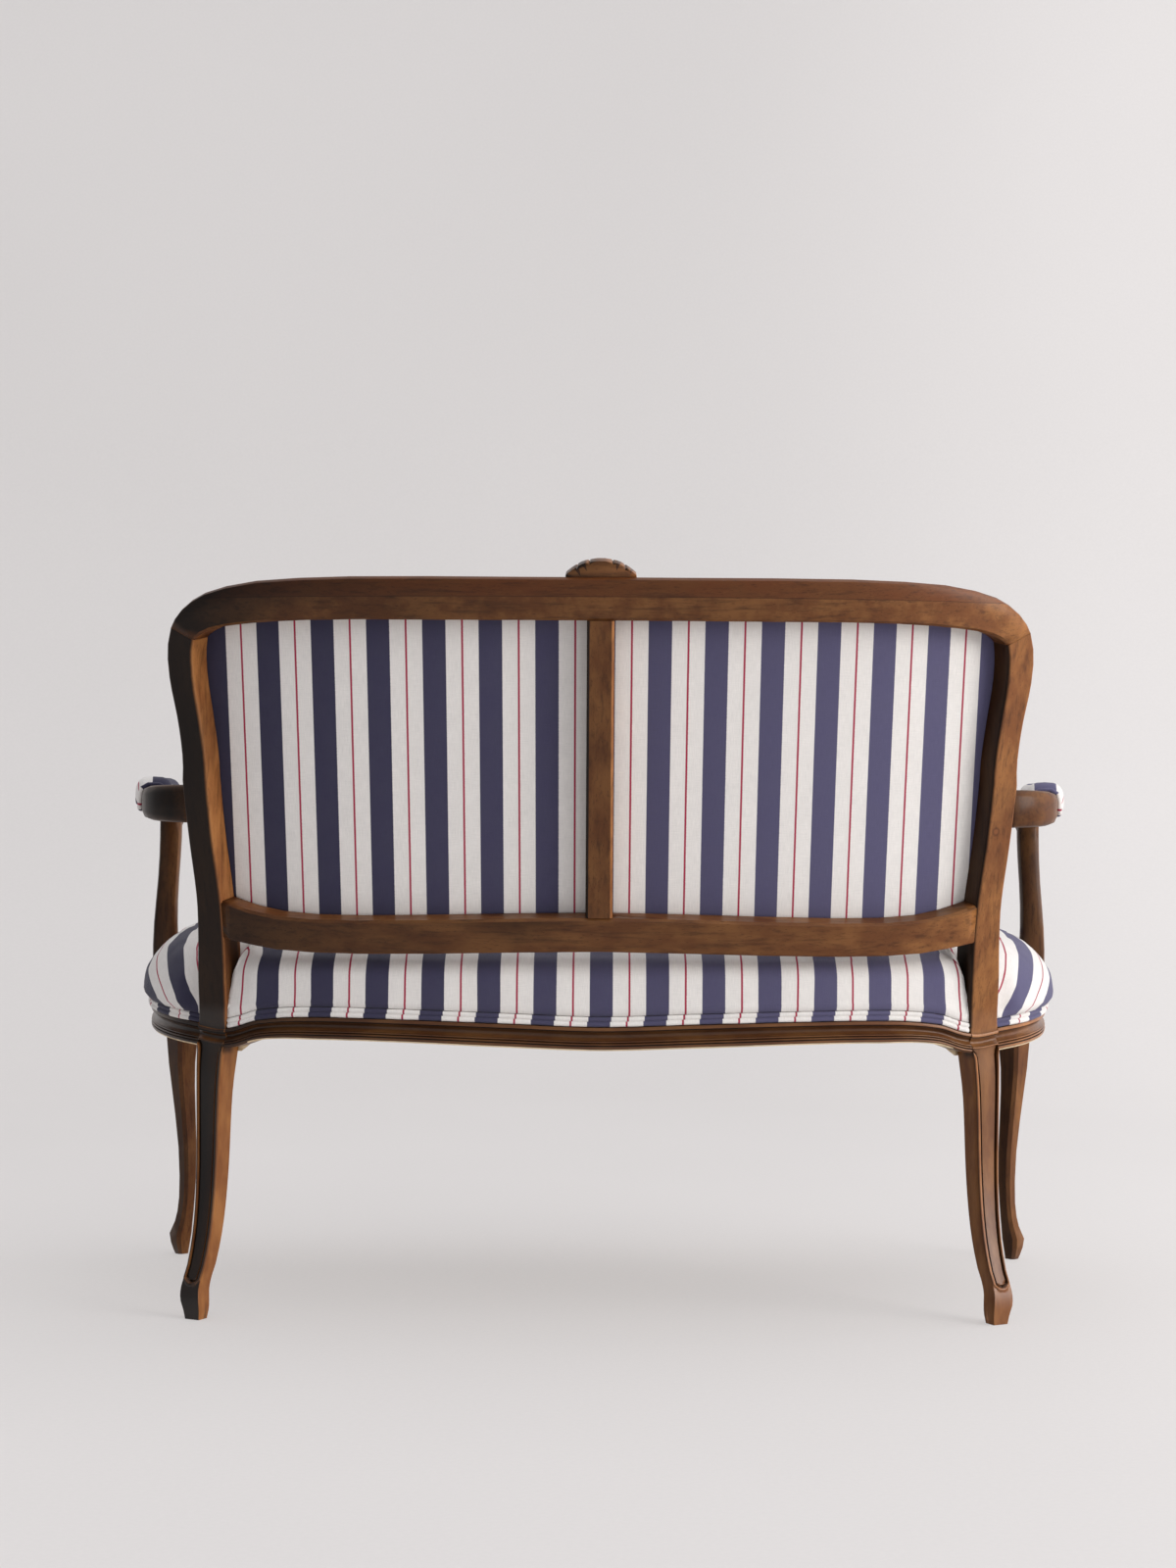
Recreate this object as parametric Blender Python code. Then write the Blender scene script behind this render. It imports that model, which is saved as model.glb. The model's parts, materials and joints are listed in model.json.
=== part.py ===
"""Two seat settee: carved beech frame, stuffed seat, back and arm pads in striped cloth.

Metres, +Z up. The rear of the settee faces -Y and the sitter faces +Y.
The origin lies under the middle of the settee, on the floor.
"""
import math

import bpy
import bmesh
from mathutils import Vector

for old in list(bpy.data.objects):
    bpy.data.objects.remove(old, do_unlink=True)

# Clearances
FIT = 0.0003
CLOTH_FIT = 0.0006

# Back frame: its rear surface leans back and bows in plan
RAKE = math.tan(math.radians(12.5))
BOW_2 = 0.12
BOW_4 = 0.85
STILE_X = 0.490
SEAT_LINE = 0.360
FRAME_THICK = 0.038
REBATE_WIDE = 0.009
REBATE_DEEP = 0.0085
ROUNDING = 0.0032
CREST_ROUNDING = 0.0075

# Crest rail, edges of its rear face as x and z
CREST_TOP = 0.9015
CREST_DEEP = 0.0495
CREST_FALL = 0.0075
CREST_END_INNER = (0.4905, CREST_TOP - 0.0715)
CREST_END_OUTER = (0.5205, CREST_TOP - 0.0550)

# Lower back rail and centre upright
BACK_RAIL_TOP = 0.4985
BACK_RAIL_DEEP = 0.0415
UPRIGHT_WIDE = 0.0325
UPRIGHT_THICK = 0.0260

# Seat frame
RAIL_TOP = 0.4020
RAIL_THICK = 0.0340
REBATE_SEAT = 0.0100
RAIL_SHY = 0.0010
MOULD_DEEP = 0.0280
MOULD_LINE_MID = 0.3645
MOULD_LINE_HIGH = 0.3720
MOULD_LINE_LEG = 0.3545
FRONT_APRON_DEEP = 0.0480
FRONT_EDGE = 0.512
FRONT_LEG_X = 0.580
FRONT_LEG_Y = 0.452
FRONT_LEG_SIDE = 0.0400

# Seat upholstery
WEB_THICK = 0.0015
WEB_WIDE = 0.058
WEB_COUNT = 7
WEB_CROSS_COUNT = 2
HESSIAN_THICK = 0.0010
SEAT_BULGE = 0.0110
SEAT_EDGE_TOP = 0.4560
SEAT_CROWN = 0.4880
CORD_RADIUS = 0.0031

# Back upholstery
PANEL_THICK = 0.0012
LAYER_GAP = 0.0008
BACK_INSET = 0.0030
BACK_PAD_EDGE = 0.0400
BACK_PAD_CROWN = 0.0640
BACK_WEB_WIDE = 0.060

# Arms
ARM_WIDE = 0.0300
ARM_DEEP = 0.0400
ARM_TOP = 0.6560
ARM_PAD_START = 0.085
ARM_PAD_END = 0.285
ARM_PAD_WIDE = 0.0520
ARM_PAD_TOP = 0.6690
ARM_PAD_HANG = 0.0230
SUPPORT_WIDE = 0.0300
SUPPORT_DEEP = 0.0260
SUPPORT_FOOT_Y = 0.325

# Joints
TENON_THICK = 0.0100
TENON_TALL = 0.0300
TENON_DROP = 0.0220
TENON_LONG = 0.0120
TENON_ROOT = 0.0080
MORTISE_SPARE = 0.0010

# Blocks and stretcher under the seat
BLOCK_LOW = 0.3270
BLOCK_TALL = 0.0480
STRETCHER_WIDE = 0.0280
STRETCHER_LOW = 0.3440
STRETCHER_TALL = 0.0360

# Carved crest: a low fan with short cuts between its lobes
CARVING_HALF = 0.0415
CARVING_HIGH = 0.0182
CARVING_STEP = 0.0025
CARVING_CUTS = (-0.0285, -0.0140, 0.0140, 0.0285)
CARVING_CUT_WIDE = 0.0028
CARVING_CUT_DEEP = 0.0030
CARVING_DROP = 0.0210
CARVING_REAR = 0.0090
CARVING_FRONT = 0.0455


def make_material(name, colour, roughness, metallic=0.0):
    material = bpy.data.materials.new(name)
    material.use_nodes = True
    shader = material.node_tree.nodes["Principled BSDF"]
    shader.inputs["Base Color"].default_value = (*colour, 1.0)
    shader.inputs["Roughness"].default_value = roughness
    shader.inputs["Metallic"].default_value = metallic
    return material


STAINED_WOOD = make_material("stained beech", (0.120, 0.048, 0.020), 0.32)
RAW_WOOD = make_material("raw beech", (0.560, 0.400, 0.250), 0.70)
STRIPED_CLOTH = make_material("striped cloth", (0.360, 0.350, 0.380), 0.80)
WELT_CLOTH = make_material("welt cloth", (0.060, 0.055, 0.110), 0.75)
JUTE = make_material("jute webbing", (0.420, 0.300, 0.170), 0.90)
HESSIAN = make_material("hessian", (0.480, 0.370, 0.230), 0.95)


def curve_through(points):
    """Smooth function through (parameter, value) pairs, with straight ends."""
    params = [p[0] for p in points]
    values = [p[1] for p in points]
    slopes = []
    for i in range(len(points)):
        low = max(i - 1, 0)
        high = min(i + 1, len(points) - 1)
        slopes.append((values[high] - values[low]) / (params[high] - params[low]))

    def value(t):
        if t <= params[0]:
            return values[0]
        if t >= params[-1]:
            return values[-1]
        i = 0
        while t > params[i + 1]:
            i += 1
        span = params[i + 1] - params[i]
        s = (t - params[i]) / span
        a = 2 * s**3 - 3 * s**2 + 1
        b = s**3 - 2 * s**2 + s
        c = -2 * s**3 + 3 * s**2
        d = s**3 - s**2
        return a * values[i] + b * span * slopes[i] + c * values[i + 1] + d * span * slopes[i + 1]

    return value


def even_curve(points):
    """Smooth function that is the same on both sides of its first parameter, zero."""
    mirrored = [(-t, v) for t, v in reversed(points[1:])]
    return curve_through(mirrored + points)


def ramp(low, high, value):
    """Smooth step from 0 at low to 1 at high."""
    s = min(max((value - low) / (high - low), 0.0), 1.0)
    return s * s * (3 - 2 * s)


def finish_object(name, mesh, material, sharp=40):
    mesh.materials.append(material)
    mesh.shade_smooth()
    mesh.set_sharp_from_angle(angle=math.radians(sharp))
    obj = bpy.data.objects.new(name, mesh)
    bpy.context.collection.objects.link(obj)
    return obj


def swell(bm, amount):
    """Move a closed skin outward by one clearance, along its own normals."""
    bm.normal_update()
    moves = [v.normal * (amount * min(v.calc_shell_factor(), 1.8)) for v in bm.verts]
    for vertex, move in zip(bm.verts, moves):
        vertex.co += move


def loft(name, rings, material, closed=False, sharp=40, grow=0.0):
    """Skin through rings with equal counts of points, capped unless closed."""
    mesh = bpy.data.meshes.new(name)
    bm = bmesh.new()
    rows = [[bm.verts.new(p) for p in ring] for ring in rings]
    count = len(rings[0])
    last = len(rows) if closed else len(rows) - 1
    for i in range(last):
        row = rows[i]
        following = rows[(i + 1) % len(rows)]
        for j in range(count):
            k = (j + 1) % count
            bm.faces.new((row[j], row[k], following[k], following[j]))
    if not closed:
        bm.faces.new(list(reversed(rows[0])))
        bm.faces.new(rows[-1])
    bmesh.ops.recalc_face_normals(bm, faces=bm.faces)
    quads = [face for face in bm.faces if len(face.verts) == 4]
    bmesh.ops.triangulate(bm, faces=quads, quad_method="FIXED")
    if grow:
        swell(bm, grow)
    bm.to_mesh(mesh)
    bm.free()
    return finish_object(name, mesh, material, sharp)


def as_cutter(obj):
    obj.hide_render = True
    obj.display_type = "WIRE"
    return obj


def boolean(obj, other, operation):
    change = obj.modifiers.new(other.name, "BOOLEAN")
    change.operation = operation
    change.solver = "EXACT"
    change.object = other


def stretched_ends(rings, amount):
    """Rings with the two end rings moved outward along the run."""
    first = sum(rings[0], Vector()) / len(rings[0])
    second = sum(rings[1], Vector()) / len(rings[1])
    last = sum(rings[-1], Vector()) / len(rings[-1])
    before = sum(rings[-2], Vector()) / len(rings[-2])
    start = (first - second).normalized() * amount
    end = (last - before).normalized() * amount
    moved = [[p + start for p in rings[0]]]
    moved.extend(rings[1:-1])
    moved.append([p + end for p in rings[-1]])
    return moved


def box_between(name, start, end, side, width, height):
    """Box run from start to end, width along side, height across both."""
    along = (end - start).normalized()
    side = (side - along * side.dot(along)).normalized()
    up = along.cross(side)
    rings = []
    for centre in (start, end):
        ring = []
        for a, b in ((-1, -1), (1, -1), (1, 1), (-1, 1)):
            ring.append(centre + side * (a * width / 2) + up * (b * height / 2))
        rings.append(ring)
    return loft(name, rings, RAW_WOOD)


def tenon(owner, host, start, end, side, width, height):
    """Tenon on the owner and the mortise that takes it in the host."""
    tongue = box_between(owner.name + "_tongue_" + host.name, start, end, side, width, height)
    boolean(owner, as_cutter(tongue), "UNION")
    reach = (end - start).normalized() * MORTISE_SPARE
    slot = box_between(host.name + "_slot_" + owner.name, start, end + reach, side,
                       width + 2 * FIT, height + 2 * FIT)
    boolean(host, as_cutter(slot), "DIFFERENCE")


# Rear surface of the back frame

def bow(x):
    return BOW_2 * x**2 + BOW_4 * x**4


def bow_slope(x):
    return 2 * BOW_2 * x + 4 * BOW_4 * x**3


LEG_BACK = curve_through([(0.0, -0.040), (0.020, -0.0435), (0.050, -0.037), (0.100, -0.021),
                          (0.180, -0.006), (0.270, 0.0), (SEAT_LINE, 0.0)])


def rear_point(x, z):
    """Point on the rear surface, which runs on down the rear legs."""
    y = bow(x) - bow(STILE_X)
    if z > SEAT_LINE:
        y -= RAKE * (z - SEAT_LINE)
    else:
        y += LEG_BACK(z)
    return Vector((x, y, z))


def inward(x, z):
    """Direction through the thickness of the back, from rear to front."""
    lean = RAKE * ramp(SEAT_LINE - 0.02, SEAT_LINE + 0.06, z)
    return Vector((-bow_slope(x), 1.0, lean)).normalized()


# Moulding of the seat frame: depth below the line, and how far it is cut in

def mould(depth):
    mm = depth * 1000
    if mm < 4.0:
        return 0.0
    if mm < 5.0:
        return 0.0022
    if mm < 16.0:
        return 0.0012 + 0.0046 * math.sin(math.pi * (mm - 5.0) / 11.0)
    if mm < 19.8:
        return 0.0010
    if mm < 20.8:
        return 0.0020
    if mm < 26.5:
        return 0.0002
    return 0.0002 + 0.0010 * (mm - 26.5)


MOULD_STEPS = [0.0, 0.0038, 0.0045, 0.0053, 0.0088, 0.0122, 0.0158, 0.0196, 0.0203,
               0.0212, 0.0258, MOULD_DEEP]


def mould_line_rear(x):
    """Height of the moulding's upper line on the rear rail and round the leg."""
    line = even_curve([(0.0, MOULD_LINE_MID), (0.12, MOULD_LINE_MID + 0.0036),
                       (0.25, MOULD_LINE_HIGH - 0.0005), (0.36, MOULD_LINE_HIGH),
                       (0.42, MOULD_LINE_HIGH - 0.0055), (0.452, MOULD_LINE_LEG + 0.002),
                       (0.472, MOULD_LINE_LEG), (0.500, MOULD_LINE_LEG + 0.0045)])
    return line(abs(x))


# Back stiles with their rear legs

STILE_EDGES = [
    (0.000, 0.4880, 0.0185), (0.012, 0.4872, 0.0215), (0.024, 0.4880, 0.0245),
    (0.036, 0.4885, 0.0240), (0.050, 0.4860, 0.0232), (0.070, 0.4805, 0.0236),
    (0.116, 0.4742, 0.0248), (0.175, 0.4710, 0.0265), (0.272, 0.4690, 0.0300),
    (0.315, 0.4660, 0.0330), (0.370, 0.4600, 0.0360), (0.420, 0.4598, 0.0365),
    (0.468, 0.4605, 0.0345), (0.516, 0.4630, 0.0325), (0.589, 0.4720, 0.0317),
    (0.661, 0.4780, 0.0324), (0.685, 0.4788, 0.0306), (0.732, 0.4845, 0.0298),
    (0.779, 0.4915, 0.0318), (0.803, 0.4928, 0.0332),
]
stile_inner = curve_through([(z, x) for z, x, across in STILE_EDGES])
stile_across = curve_through([(z, across) for z, x, across in STILE_EDGES])
stile_deep = curve_through([(0.0, 0.0190), (0.020, 0.0240), (0.050, 0.0245), (0.116, 0.0270),
                            (0.175, 0.0290), (0.272, 0.0320), (0.330, 0.0370),
                            (0.400, FRAME_THICK), (0.850, FRAME_THICK)])

FACE_STEPS = (0.0, 0.13, 0.22, 0.5, 0.78, 0.87, 1.0)


def panel_relief(z, across, top):
    """Beaded sunk panel on the outer face of a leg, in metres, inward positive."""
    from_middle = abs(across - 0.5) * 2
    bottom = 0.040 + 0.010 * from_middle**2
    inside = ramp(bottom, bottom + 0.006, z) * (1 - ramp(top - 0.006, top, z))
    zone = ramp(bottom - 0.010, bottom - 0.004, z) * (1 - ramp(top + 0.002, top + 0.006, z))
    if from_middle > 0.95:
        return 0.0
    if from_middle > 0.65:
        return -0.0008 * zone
    if from_middle > 0.50:
        return 0.0016 * inside - 0.0008 * (zone - inside)
    return 0.0018 * inside - 0.0008 * (zone - inside)


def leg_relief(z, across, line):
    """Relief of a leg's outer face: moulding round the head, panel below."""
    below = line - z
    if below > MOULD_DEEP:
        return 0.0010 + panel_relief(z, across, line - MOULD_DEEP - 0.0085)
    if below > 0.0:
        return mould(below)
    return 0.0012 * (1 - ramp(line + 0.002, line + 0.012, z))


def stile_ring(z, side):
    """Section of a stile or rear leg, starting on its inner rear edge."""
    x_in = stile_inner(z)
    x_out = x_in + stile_across(z)
    a = rear_point(x_in, z)
    b = rear_point(x_out, z)
    along = b - a
    wide = along.length
    along.normalize()
    through = Vector((-along.y, along.x, 0.0)).normalized()
    lean = RAKE * ramp(SEAT_LINE - 0.02, SEAT_LINE + 0.06, z)
    through = (through + Vector((0, 0, lean))).normalized()
    deep = stile_deep(z)
    soft = ROUNDING
    rebate = REBATE_WIDE * ramp(0.462, 0.474, z)
    step = REBATE_DEEP
    line = mould_line_rear(0.472)
    points = []
    for across in FACE_STEPS:
        u = min(max(across * wide, soft), wide - soft)
        if across in (0.0, 1.0):
            u = soft if across == 0.0 else wide - soft
        relief = leg_relief(z, across, line) if z < line + 0.015 else 0.0
        points.append((u, relief))
    wrap = mould(line - z) if 0 < line - z <= MOULD_DEEP else 0.0
    wrap += 0.0010 if line - z > MOULD_DEEP else 0.0
    points.append((wide - wrap * 0.5, soft + wrap))
    points.append((wide, deep - soft))
    points.append((wide - soft, deep))
    points.append((rebate + 0.0012, deep))
    points.append((rebate, deep - 0.0012))
    points.append((rebate * 0.999, deep - step))
    points.append((0.0, deep - step - 0.0001))
    points.append((0.0, soft + points[0][1]))
    follow = ramp(line - 0.0645, line - 0.0365, z) * (1 - ramp(line + 0.0115, line + 0.0405, z))
    ring = []
    for u, n in points:
        p = a + along * u + through * n
        p.z += follow * (mould_line_rear(x_in + u * along.x) - mould_line_rear(0.472))
        ring.append(Vector((side * p.x, p.y, p.z)))
    return ring


def leg_heights(lower, line):
    """Heights of a leg's sections from the floor to the top of its moulding."""
    base = line - MOULD_DEEP
    heights = [z for z in lower if z < base - 0.075]
    heights.extend([base - 0.0615, base - 0.0265, base - 0.0145, base - 0.0080])
    heights.extend(line - depth - 0.0001 for depth in reversed(MOULD_STEPS))
    return heights


def stile_heights():
    line = mould_line_rear(0.472)
    heights = leg_heights([0.0, 0.010, 0.022, 0.034, 0.040, 0.046, 0.056, 0.075, 0.105,
                           0.150, 0.210], line)
    heights.extend([line + 0.0015, line + 0.0135])
    shoulder = STILE_SHOULDER[0][0][1]
    for z in (0.395, 0.430, 0.461, 0.475, 0.515, 0.565, 0.615, 0.665, 0.697, 0.730):
        if line + 0.025 < z < shoulder - 0.050:
            heights.append(z)
    heights.append(shoulder - 0.0345)
    return heights


def stile_rings(side):
    rings = [stile_ring(z, side) for z in stile_heights()]
    for inner, outer in STILE_SHOULDER:
        rings.append(joint_ring(inner, outer, side))
    return rings


def frame_section(wide, outer_soft, fall, shy):
    """Section of a back rail: across from its inner edge, and through from the rear."""
    soft = ROUNDING
    half = outer_soft * 0.3
    near = shy
    far = FRAME_THICK - shy
    step = FRAME_THICK - REBATE_DEEP
    return [
        (soft, near), (0.5 * wide, near), (wide - outer_soft, near),
        (wide - half, near + half), (wide, near + outer_soft),
        (wide - 0.4 * fall, 0.6 * far), (wide - 0.8 * fall, far - outer_soft),
        (wide - fall - half, far - half), (wide - fall - outer_soft, far),
        (REBATE_WIDE + 0.0012, far), (REBATE_WIDE, far - 0.0012),
        (REBATE_WIDE, step), (0.0, step), (0.0, near + soft),
    ]


def frame_ring(inner, outer, side=1, outer_soft=ROUNDING, fall=0.0, shy=0.0):
    """Section of a back rail between its inner and outer edge, given as x and z."""
    a = rear_point(*inner)
    b = rear_point(*outer)
    along = b - a
    wide = along.length
    along.normalize()
    through = inward((inner[0] + outer[0]) / 2, inner[1])
    through = (through - along * through.dot(along)).normalized()
    ring = []
    for u, n in frame_section(wide, outer_soft, fall, shy):
        p = a + along * u + through * n
        ring.append(Vector((side * p.x, p.y, p.z)))
    return ring


STILE_SHOULDER = [((0.4929, CREST_TOP - 0.0970), (0.5261, CREST_TOP - 0.0930)),
                  ((0.4926, CREST_TOP - 0.0845), (0.5252, CREST_TOP - 0.0745)),
                  (CREST_END_INNER, CREST_END_OUTER)]


def joint_ring(inner, outer, side):
    """Slanted section at a stile's shoulder, in the stile's own count of points."""
    a = rear_point(*inner)
    b = rear_point(*outer)
    along = b - a
    wide = along.length
    along.normalize()
    through = inward((inner[0] + outer[0]) / 2, inner[1])
    through = (through - along * through.dot(along)).normalized()
    deep = FRAME_THICK
    soft = ROUNDING
    points = []
    for across in FACE_STEPS:
        points.append((min(max(across * wide, soft), wide - soft), 0.0))
    points.extend([(wide, soft), (wide, deep - soft), (wide - soft, deep),
                   (REBATE_WIDE + 0.0012, deep), (REBATE_WIDE, deep - 0.0012),
                   (REBATE_WIDE, deep - REBATE_DEEP), (0.0, deep - REBATE_DEEP), (0.0, soft)])
    ring = []
    for u, n in points:
        p = a + along * u + through * n
        ring.append(Vector((side * p.x, p.y, p.z)))
    return ring


# Crest rail

CREST_LOW = CREST_TOP - CREST_DEEP
CREST_RUN = [
    ((0.000, CREST_LOW), (0.000, CREST_TOP)),
    ((0.100, CREST_LOW), (0.100, CREST_TOP)),
    ((0.200, CREST_LOW), (0.205, CREST_TOP + 0.0005)),
    ((0.290, CREST_LOW + 0.0005), (0.297, CREST_TOP + 0.0005)),
    ((0.350, CREST_LOW), (0.360, CREST_TOP - 0.0008)),
    ((0.395, CREST_LOW - 0.0015), (0.412, CREST_TOP - 0.0035)),
    ((0.428, CREST_LOW - 0.0037), (0.450, CREST_TOP - 0.0090)),
    ((0.452, CREST_LOW - 0.0062), (0.477, CREST_TOP - 0.0160)),
    ((0.468, CREST_LOW - 0.0095), (0.4935, CREST_TOP - 0.0240)),
    ((0.4795, CREST_LOW - 0.0138), (0.5070, CREST_TOP - 0.0345)),
    ((0.4868, CREST_LOW - 0.0180), (0.5155, CREST_TOP - 0.0450)),
    (CREST_END_INNER, CREST_END_OUTER),
]


def make_crest_rail():
    half = []
    count = len(CREST_RUN)
    for i, (inner, outer) in enumerate(CREST_RUN):
        fade = ramp(count - 5, count - 1, i)
        soft = CREST_ROUNDING + (ROUNDING - CREST_ROUNDING) * fade
        half.append((inner, outer, soft, CREST_FALL * (1 - fade)))
    rings = [frame_ring(a, b, -1, soft, fall) for a, b, soft, fall in reversed(half)]
    rings.extend(frame_ring(a, b, 1, soft, fall) for a, b, soft, fall in half[1:])
    # The joint faces stand one clearance off the stiles
    for index, nearer in ((0, 1), (-1, -2)):
        here = sum(rings[index], Vector()) / len(rings[index])
        there = sum(rings[nearer], Vector()) / len(rings[nearer])
        step = (there - here).normalized() * FIT
        rings[index] = [p + step for p in rings[index]]
    return loft("crest_rail", rings, STAINED_WOOD)


def back_rail_top(x):
    line = even_curve([(0.0, BACK_RAIL_TOP), (0.12, BACK_RAIL_TOP - 0.0020),
                       (0.24, BACK_RAIL_TOP - 0.0050), (0.33, BACK_RAIL_TOP - 0.0058),
                       (0.39, BACK_RAIL_TOP - 0.0025), (0.425, BACK_RAIL_TOP + 0.0040),
                       (0.448, BACK_RAIL_TOP + 0.0105), (0.470, BACK_RAIL_TOP + 0.0190)])
    return line(abs(x))


def back_rail_bottom(x):
    low = BACK_RAIL_TOP - BACK_RAIL_DEEP
    line = even_curve([(0.0, low), (0.12, low - 0.0020), (0.28, low - 0.0052),
                       (0.38, low - 0.0030), (0.430, low + 0.0040), (0.470, low + 0.0125)])
    return line(abs(x))


BACK_RAIL_STATIONS = (0.0, 0.10, 0.20, 0.29, 0.35, 0.395, 0.428, 0.452, 0.474)


def make_lower_back_rail(stile_cutters):
    xs = [-x for x in reversed(BACK_RAIL_STATIONS[1:])]
    xs.extend(BACK_RAIL_STATIONS)
    rings = []
    for x in xs:
        inner = (x, back_rail_top(x))
        outer = (x, back_rail_bottom(x))
        rings.append(frame_ring(inner, outer, shy=RAIL_SHY))
    rail = loft("lower_back_rail", rings, STAINED_WOOD)
    for cutter in stile_cutters:
        boolean(rail, cutter, "DIFFERENCE")
    return rail


def make_upright():
    rings = []
    low = back_rail_top(0.0) + FIT
    high = CREST_TOP - CREST_DEEP - FIT
    for i in range(5):
        z = low + (high - low) * i / 4
        centre = rear_point(0.0, z)
        through = inward(0.0, z)
        half = UPRIGHT_WIDE / 2
        soft = ROUNDING
        ring = []
        for u, n in ((-half + soft, 0.0), (half - soft, 0.0), (half, soft),
                     (half, UPRIGHT_THICK), (-half, UPRIGHT_THICK), (-half, soft)):
            ring.append(centre + Vector((u, 0, 0)) + through * (n + 0.0008))
        rings.append(ring)
    return loft("back_upright", rings, STAINED_WOOD)


# Seat rails: each section runs down the moulded face and back up the inside

def rail_ring(point, out, line, deep):
    """Section of a seat rail at a point of its outer line, out is away from the seat."""
    point = point - out * RAIL_SHY
    factor = deep / MOULD_DEEP
    ring = []
    for depth in MOULD_STEPS:
        p = point - out * mould(depth)
        ring.append(Vector((p.x, p.y, line - depth * factor)))
    back = point - out * RAIL_THICK
    inset = point - out * REBATE_SEAT
    low = line - deep
    ring.append(Vector((back.x, back.y, low)))
    ring.append(Vector((back.x, back.y, RAIL_TOP)))
    ring.append(Vector((inset.x, inset.y, RAIL_TOP)))
    ring.append(Vector((inset.x, inset.y, line + 0.0004)))
    return ring


REAR_STATIONS = (0.0, 0.07, 0.14, 0.21, 0.28, 0.335, 0.375, 0.405, 0.430, 0.448, 0.466)


def rear_mid(x):
    """Middle of the rear rail's thickness in plan."""
    point = rear_point(x, SEAT_LINE)
    out = Vector((bow_slope(x), -1.0, 0.0)).normalized()
    return point - out * (RAIL_THICK * 0.55)


def rear_rail_rings():
    xs = [-x for x in reversed(REAR_STATIONS[1:])]
    xs.extend(REAR_STATIONS)
    rings = []
    for x in xs:
        point = rear_point(x, SEAT_LINE)
        out = Vector((bow_slope(x), -1.0, 0.0)).normalized()
        deep = MOULD_DEEP - 0.0012 * ramp(0.1, 0.3, abs(x))
        rings.append(rail_ring(point, out, mould_line_rear(x), deep))
    return rings


# Side rails sweep outward from the rear legs and then forward

SIDE_RUN = [(0.00, 0.4760, 0.0090), (0.05, 0.4960, 0.0190), (0.12, 0.5250, 0.0420),
            (0.20, 0.5500, 0.0760), (0.32, 0.5710, 0.1250), (0.47, 0.5860, 0.1950),
            (0.62, 0.5950, 0.2650), (0.80, 0.6010, 0.3500), (1.00, 0.6040, 0.4440)]
side_x = curve_through([(t, x) for t, x, y in SIDE_RUN])
side_y = curve_through([(t, y) for t, x, y in SIDE_RUN])


def side_outward(t):
    step = 0.004
    dx = side_x(min(t + step, 1.0)) - side_x(max(t - step, 0.0))
    dy = side_y(min(t + step, 1.0)) - side_y(max(t - step, 0.0))
    return Vector((dy, -dx, 0.0)).normalized()


def side_mid(t):
    """Middle of a side rail's thickness in plan."""
    return Vector((side_x(t), side_y(t), 0.0)) - side_outward(t) * (RAIL_THICK * 0.55)


def mould_line_side(t):
    line = curve_through([(0.0, MOULD_LINE_LEG + 0.0020), (0.05, MOULD_LINE_LEG + 0.0040),
                          (0.10, MOULD_LINE_LEG + 0.0065),
                          (0.25, MOULD_LINE_HIGH - 0.0060), (0.50, MOULD_LINE_HIGH - 0.0020),
                          (0.75, MOULD_LINE_HIGH - 0.0050), (1.0, MOULD_LINE_LEG + 0.002)])
    return line(t)


SIDE_STATIONS = (0.0, 0.05, 0.10, 0.16, 0.23, 0.31, 0.42, 0.56, 0.74, 0.90, 1.0)


def side_rail_rings(side):
    rings = []
    for t in SIDE_STATIONS:
        point = Vector((side_x(t), side_y(t), 0.0))
        out = side_outward(t)
        deep = MOULD_DEEP + 0.004 * ramp(0.75, 1.0, t)
        ring = rail_ring(point, out, mould_line_side(t), deep)
        rings.append([Vector((side * p.x, p.y, p.z)) for p in ring])
    return rings


# Front rail: serpentine in plan and in its lower edge

front_y = even_curve([(0.0, FRONT_EDGE), (0.15, FRONT_EDGE - 0.004),
                      (0.30, FRONT_EDGE - 0.015), (0.44, FRONT_EDGE - 0.026),
                      (0.52, FRONT_EDGE - 0.032), (0.59, FRONT_EDGE - 0.040)])
front_line = even_curve([(0.0, MOULD_LINE_MID), (0.15, MOULD_LINE_MID + 0.004),
                         (0.30, MOULD_LINE_HIGH), (0.44, MOULD_LINE_HIGH - 0.001),
                         (0.54, MOULD_LINE_LEG + 0.003), (0.59, MOULD_LINE_LEG)])
front_deep = even_curve([(0.0, FRONT_APRON_DEEP), (0.06, FRONT_APRON_DEEP - 0.004),
                         (0.15, FRONT_APRON_DEEP - 0.012), (0.32, FRONT_APRON_DEEP - 0.014),
                         (0.46, FRONT_APRON_DEEP - 0.008), (0.59, FRONT_APRON_DEEP - 0.004)])
FRONT_STATIONS = (0.0, 0.05, 0.12, 0.21, 0.30, 0.39, 0.46, 0.515, 0.555, 0.580)


def front_outward(x):
    step = 0.004
    rise = (front_y(abs(x) + step) - front_y(max(abs(x) - step, 0.0))) / (2 * step)
    if abs(x) < step:
        rise = 0.0
    return Vector((-math.copysign(rise, x) if x else 0.0, 1.0, 0.0)).normalized()


def front_mid(x):
    """Middle of the front rail's thickness in plan."""
    return Vector((x, front_y(x) - RAIL_THICK * 0.55, 0.0))


def front_rail_rings():
    xs = [-x for x in reversed(FRONT_STATIONS[1:])]
    xs.extend(FRONT_STATIONS)
    rings = []
    for x in xs:
        point = Vector((x, front_y(abs(x)), 0.0))
        rings.append(rail_ring(point, front_outward(x), front_line(abs(x)), front_deep(abs(x))))
    return rings


# Front legs: cabriole, turned so that their outer face looks along the diagonal

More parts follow.
